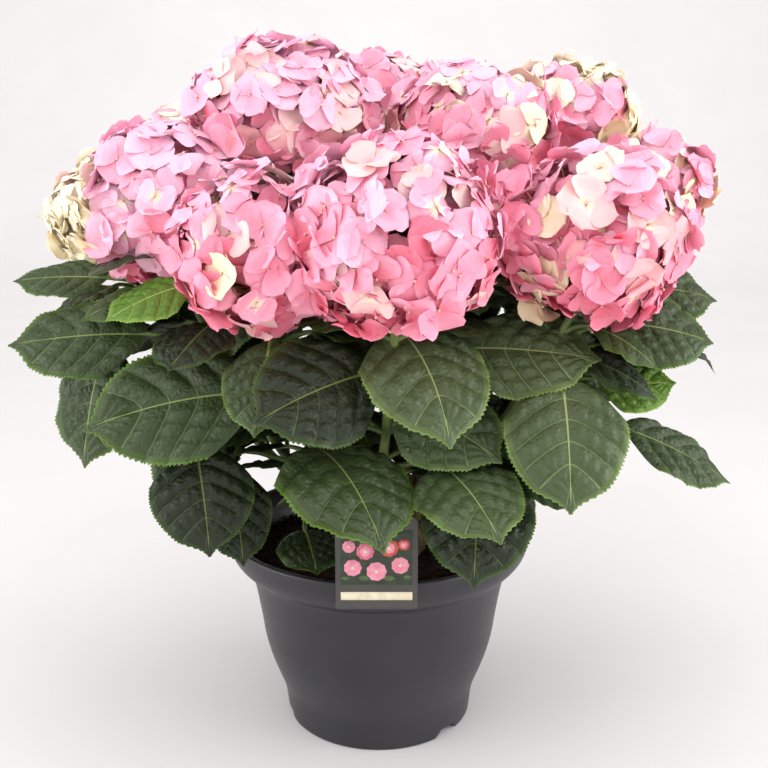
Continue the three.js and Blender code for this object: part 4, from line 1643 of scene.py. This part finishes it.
@dataclass
class Blooms:
    """The heads of bloom: florets, their beads, and the rays that bear them."""

    floret: Floret = field(default_factory=Floret)
    inner_floret: Floret = field(default_factory=lambda: Floret(rows=5, columns=5))
    seed: int = 911
    eye_share: float = 0.84
    inner_share: float = 0.69
    floret_area: float = 460
    inner_area: float = 720
    body_tone: float = 4.3
    # Florets that face up take lighter steps by this much: painted light from above.
    upward_painted_light: float = 3.2
    # Florets of the inner layer take deeper steps by this much: painted shade in the head's depths.
    inner_painted_shade: float = 1.6
    peach: float = 0.09
    inner_pale: float = 0.1
    lowest: float = -0.96
    underside: float = 0.94
    merge: float = 17
    seam: float = 7
    lumps: float = 3.2
    lump_waves: float = 2.6
    direction_jitter: float = 0.075
    reach_jitter: float = 0.05
    facing_jitter: float = 0.27
    tone_jitter: float = 1.0
    sizes: tuple[float, float] = (0.8, 1.06)
    usual_across: float = 78
    size_power: float = 0.4
    patch_cream: float = 0.85
    hub_drop: float = 0.35
    ray_radii: Triple = (1.3, 1.0, 0.6)
    ray_bend: float = 0.45
    ray_sag: float = 3

    def directions(self, count: int, draw: np.random.Generator) -> np.ndarray:
        """Spreads directions evenly over a ball.

        Args:
            count: how many.
            draw: the seeded generator.

        Returns:
            One unit vector for each.
        """
        number = np.arange(count) + 0.5
        height = 1 - 2 * number / count
        turn = number * math.pi * (3 - math.sqrt(5)) + draw.uniform(0, 2 * np.pi)
        flat = np.sqrt(1 - height ** 2)
        even = np.stack([flat * np.cos(turn), flat * np.sin(turn), height], 1)
        return unit(even + draw.normal(0, self.direction_jitter, even.shape))

    def radii(self, head: Head, up: float) -> np.ndarray:
        """Gives a head's radii along the axes, flatter where up is below 0."""
        return np.array([head.across, head.across, head.up * (self.underside if up < 0 else 1)])

    def depth_in(self, head: Head, place: np.ndarray) -> float:
        """Tells about how far a place is outside a head, below 0 inside."""
        away = place - head.centre
        reach = np.linalg.norm(away / self.radii(head, away[2]))
        return (reach - self.eye_share) * head.across

    def settled(self, head: Head, eye: np.ndarray, direction: np.ndarray) -> np.ndarray | None:
        """Lifts a floret where two heads meet, and drops it inside a neighbour.

        Args:
            head: the floret's own head.
            eye: its centre.
            direction: the way out of its head.

        Returns:
            The lifted centre, or None where it is inside another head.
        """
        others = [other for other in HEADS if other is not head]
        depths = np.array([self.depth_in(other, eye) for other in others])
        if depths.min() < -self.seam:
            return None
        weights = np.exp(-depths / self.merge)
        ways = unit(eye - np.array([other.centre for other in others]))
        lift = self.merge * math.log(1 + weights.sum())
        return eye + unit(direction + weights @ ways) * min(lift, self.merge)

    def build(self) -> None:
        """Builds every head."""
        draw = np.random.default_rng(self.seed)
        petals = [
            SEPAL.coloured(f"sepal_{tint.name.lower()}_{number}", code)
            for tint in Tint
            for number, code in enumerate(PETAL_COLOURS[tint])
        ]
        materials = [finish.material() for finish in petals]
        batches = {side: MeshBatch(f"florets_{side.value}", materials, "bloom") for side in Side}
        bead = Finish("bead", ("EBDDB8", "DDA8A0"), (0.4, 0.5), 300, 0.0001, 900)
        beads = MeshBatch("floret_beads", [bead.material()], "bloom")
        ray = Finish("ray", ("B98F4C", "E0B48C", "F0CFC0"), (0.5, 0.65), 90, 0.0002, 500)
        rays = MeshBatch("flower_rays", [ray.material()], "bloom")
        for head in HEADS:
            self.add_head(head, batches[head.side], beads, rays, draw)
        for side, batch in batches.items():
            batch.build(names_of(side, "bloom_"))
        nodes = [f"bloom_{head.name}" for head in HEADS]
        beads.build(nodes)
        rays.build(nodes)

    def add_head(
        self,
        head: Head,
        petals: MeshBatch,
        beads: MeshBatch,
        rays: MeshBatch,
        draw: np.random.Generator,
    ) -> None:
        """Adds one head's florets, beads and rays.

        Args:
            head: the head.
            petals: the piece that takes florets.
            beads: the piece that takes beads.
            rays: the piece that takes rays.
            draw: the seeded generator.
        """
        area = 4 * math.pi * head.across * (head.across + 2 * head.up) / 3
        hub = head.centre - np.array([0, 0, self.hub_drop * head.up])
        swells = draw.normal(0, self.lump_waves, (5, 3))
        phases = draw.uniform(0, 2 * np.pi, 5)
        layers = ((self.eye_share, self.floret_area, 0), (self.inner_share, self.inner_area, 1))
        for share, cover, depth in layers:
            for direction in self.directions(round(area * share ** 2 / cover), draw):
                lump = self.lumps * np.sin(swells @ direction + phases).sum() / 2
                radii = self.radii(head, direction[2])
                reach = share + jitter(draw, self.reach_jitter)
                eye = head.centre + direction * radii * reach + direction * lump
                eye = self.settled(head, eye, direction)
                if eye is None or direction[2] < self.lowest:
                    continue
                facing = unit(direction / radii * head.across)
                outward = unit(facing + draw.normal(0, self.facing_jitter, 3))
                usual = (head.across / self.usual_across) ** self.size_power
                size = draw.uniform(*self.sizes) * usual
                tint = self.tint(head, eye, depth, draw)
                # Lighter facing up, deeper facing down: painted light and shade.
                tone = self.body_tone - self.upward_painted_light * outward[2]
                # Deeper in the inner layer: painted shade inside the head.
                tone += draw.normal(0, self.tone_jitter) + head.tone + self.inner_painted_shade * depth
                floret = self.inner_floret if depth else self.floret
                floret.add(petals, draw, eye, outward, size, tone, tint)
                if not depth:
                    self.add_bead(beads, eye, outward, size)
                bend = hub * (1 - self.ray_bend) + eye * self.ray_bend - [0, 0, self.ray_sag]
                path = np.stack([hub, bend, eye - outward])
                rays.add_grid(tube(path, np.array(self.ray_radii), 5), ring=True)

    def tint(self, head: Head, eye: np.ndarray, depth: int, draw: np.random.Generator) -> Tint:
        """Deals out the pink, peach and cream florets.

        Args:
            head: the floret's head.
            eye: its centre.
            depth: 0 for the outer layer and 1 for the inner.
            draw: the seeded generator.

        Returns:
            The floret's colour family.
        """
        in_patch = any(np.linalg.norm(eye - np.array(at)) < reach for at, reach in PALE_PATCHES)
        cream = max(head.cream, self.patch_cream * in_patch, self.inner_pale * depth)
        chance = draw.uniform()
        if chance < cream:
            return Tint.CREAM
        return Tint.PEACH if chance < cream + self.peach else Tint.PINK

    def add_bead(self, beads: MeshBatch, eye: np.ndarray, outward: np.ndarray, size: float) -> None:
        """Adds the small closed flower at a floret's centre.

        Args:
            beads: the piece that takes it.
            eye: the floret's centre.
            outward: the way the floret faces.
            size: the floret's size.
        """
        radius = self.floret.bead * size
        path = eye + outward * np.linspace(0.4, 0.4 + 2 * radius, 3)[:, None]
        grid = tube(path, radius * np.array([0.7, 1, 0.5]), 5, closed=True)
        beads.add_grid(grid, ring=True)


# ---------------------------------------------------------------- studio


@dataclass(frozen=True)
class Softbox:
    """A square softbox: its place and width in metres, its turn in degrees, its power in watts."""

    name: str
    at: Triple
    turn: Triple
    width: float
    power: float

    def hang(self) -> None:
        """Adds the light to the scene."""
        lamp = bpy.data.lights.new(self.name, "AREA")
        lamp.size = self.width
        lamp.energy = self.power
        light = bpy.data.objects.new(self.name, lamp)
        light.location = self.at
        light.rotation_euler = [math.radians(angle) for angle in self.turn]
        bpy.context.collection.objects.link(light)


@dataclass(frozen=True)
class Studio:
    """The pale floor, soft lights and the camera, in metres."""

    camera_place: Triple = (0.005, -0.887, 0.534)
    camera_pitch: float = 13.6
    lens: float = 46.875
    sensor: float = 36
    floor_ends: tuple[float, float] = (-4, 3)
    floor_half: float = 7
    bend_radius: float = 1.5
    wall_top: float = 6
    sky: Triple = (0.965, 0.965, 1.0)
    sky_strength: float = 1.1
    softboxes: tuple[Softbox, ...] = (
        Softbox("key_softbox", (-0.9, -1.5, 1.9), (46, -28, 0), 1.8, 9),
        Softbox("top_softbox", (0.1, 0.2, 2.4), (-4, 0, 0), 2.2, 7),
        Softbox("left_softbox", (-1.7, -0.5, 0.5), (0, -84, 14), 1.4, 16),
        Softbox("right_softbox", (1.8, -0.5, 0.6), (0, 80, -14), 1.4, 23),
        Softbox("backdrop_softbox", (0, 2.4, 3.4), (68, 0, 0), 3.0, 30),
    )

    def build(self) -> None:
        """Sets up floor, light and camera."""
        bpy.context.scene.view_settings.view_transform = "Standard"
        self.add_floor()
        self.add_world()
        for softbox in self.softboxes:
            softbox.hang()
        self.add_camera()

    def add_floor(self) -> None:
        """Makes a floor that sweeps up into a backdrop."""
        finish = Finish("pale_floor", ("E0DDDB", "E3E0DE"), (0.6, 0.7), 3, 0.0001, 60, specular=0.2)
        front, back = self.floor_ends
        profile = [(front, 0.0), (back, 0.0)] + [
            (back + self.bend_radius * math.sin(turn), self.bend_radius * (1 - math.cos(turn)))
            for turn in np.linspace(0, math.pi / 2, 20)
        ] + [(back + self.bend_radius, self.wall_top)]
        points = [(x, y, z) for y, z in profile for x in (-self.floor_half, self.floor_half)]
        faces = [(row, row + 1, row + 3, row + 2) for row in range(0, len(points) - 2, 2)]
        mesh = bpy.data.meshes.new("pale_floor")
        mesh.from_pydata(points, [], faces)
        mesh.shade_smooth()
        mesh.materials.append(finish.material())
        floor = bpy.data.objects.new("pale_floor", mesh)
        bpy.context.collection.objects.link(floor)

    def add_world(self) -> None:
        """Fills the studio with soft pale light."""
        world = bpy.data.worlds.new("studio")
        world.use_nodes = True
        background = world.node_tree.nodes["Background"]
        wire(world.node_tree, background, {"Color": (*self.sky, 1), "Strength": self.sky_strength})
        bpy.context.scene.world = world

    def add_camera(self) -> None:
        """Sets the camera in front of the plant, looking slightly down."""
        lens = bpy.data.cameras.new("studio_camera")
        lens.lens = self.lens
        lens.sensor_width = self.sensor
        camera = bpy.data.objects.new("studio_camera", lens)
        camera.location = self.camera_place
        camera.rotation_euler = (math.radians(90 - self.camera_pitch), 0, 0)
        bpy.context.collection.objects.link(camera)
        bpy.context.scene.camera = camera


# ---------------------------------------------------------------- main


def packed_corners(node: bpy.types.Object) -> np.ndarray:
    """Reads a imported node's vertices.

    Args:
        node: the node's object.

    Returns:
        Its vertices in millimetres.
    """
    values = np.empty(len(node.data.vertices) * 3, np.float32)
    node.data.vertices.foreach_get("co", values)
    corners = values.reshape(-1, 3).astype(float)
    matrix = np.array(node.matrix_world)
    return (corners @ matrix[:3, :3].T + matrix[:3, 3]) / MM


def main() -> None:
    """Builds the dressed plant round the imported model."""
    logging.basicConfig(level=logging.INFO, format="%(message)s")
    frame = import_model()
    feet = cane_feet()
    canes = [Cane(head, feet[head.name]) for head in HEADS]
    masses = {
        head.name: packed_corners(frame["nodes"][f"foliage_{head.name}"]) for head in HEADS
    }
    Studio().build()
    Pot().build()
    Soil().build()
    Label().build()
    Boughs(canes).build()
    Foliage(canes, masses).build()
    Blooms().build()


if __name__ == "__main__":
    main()
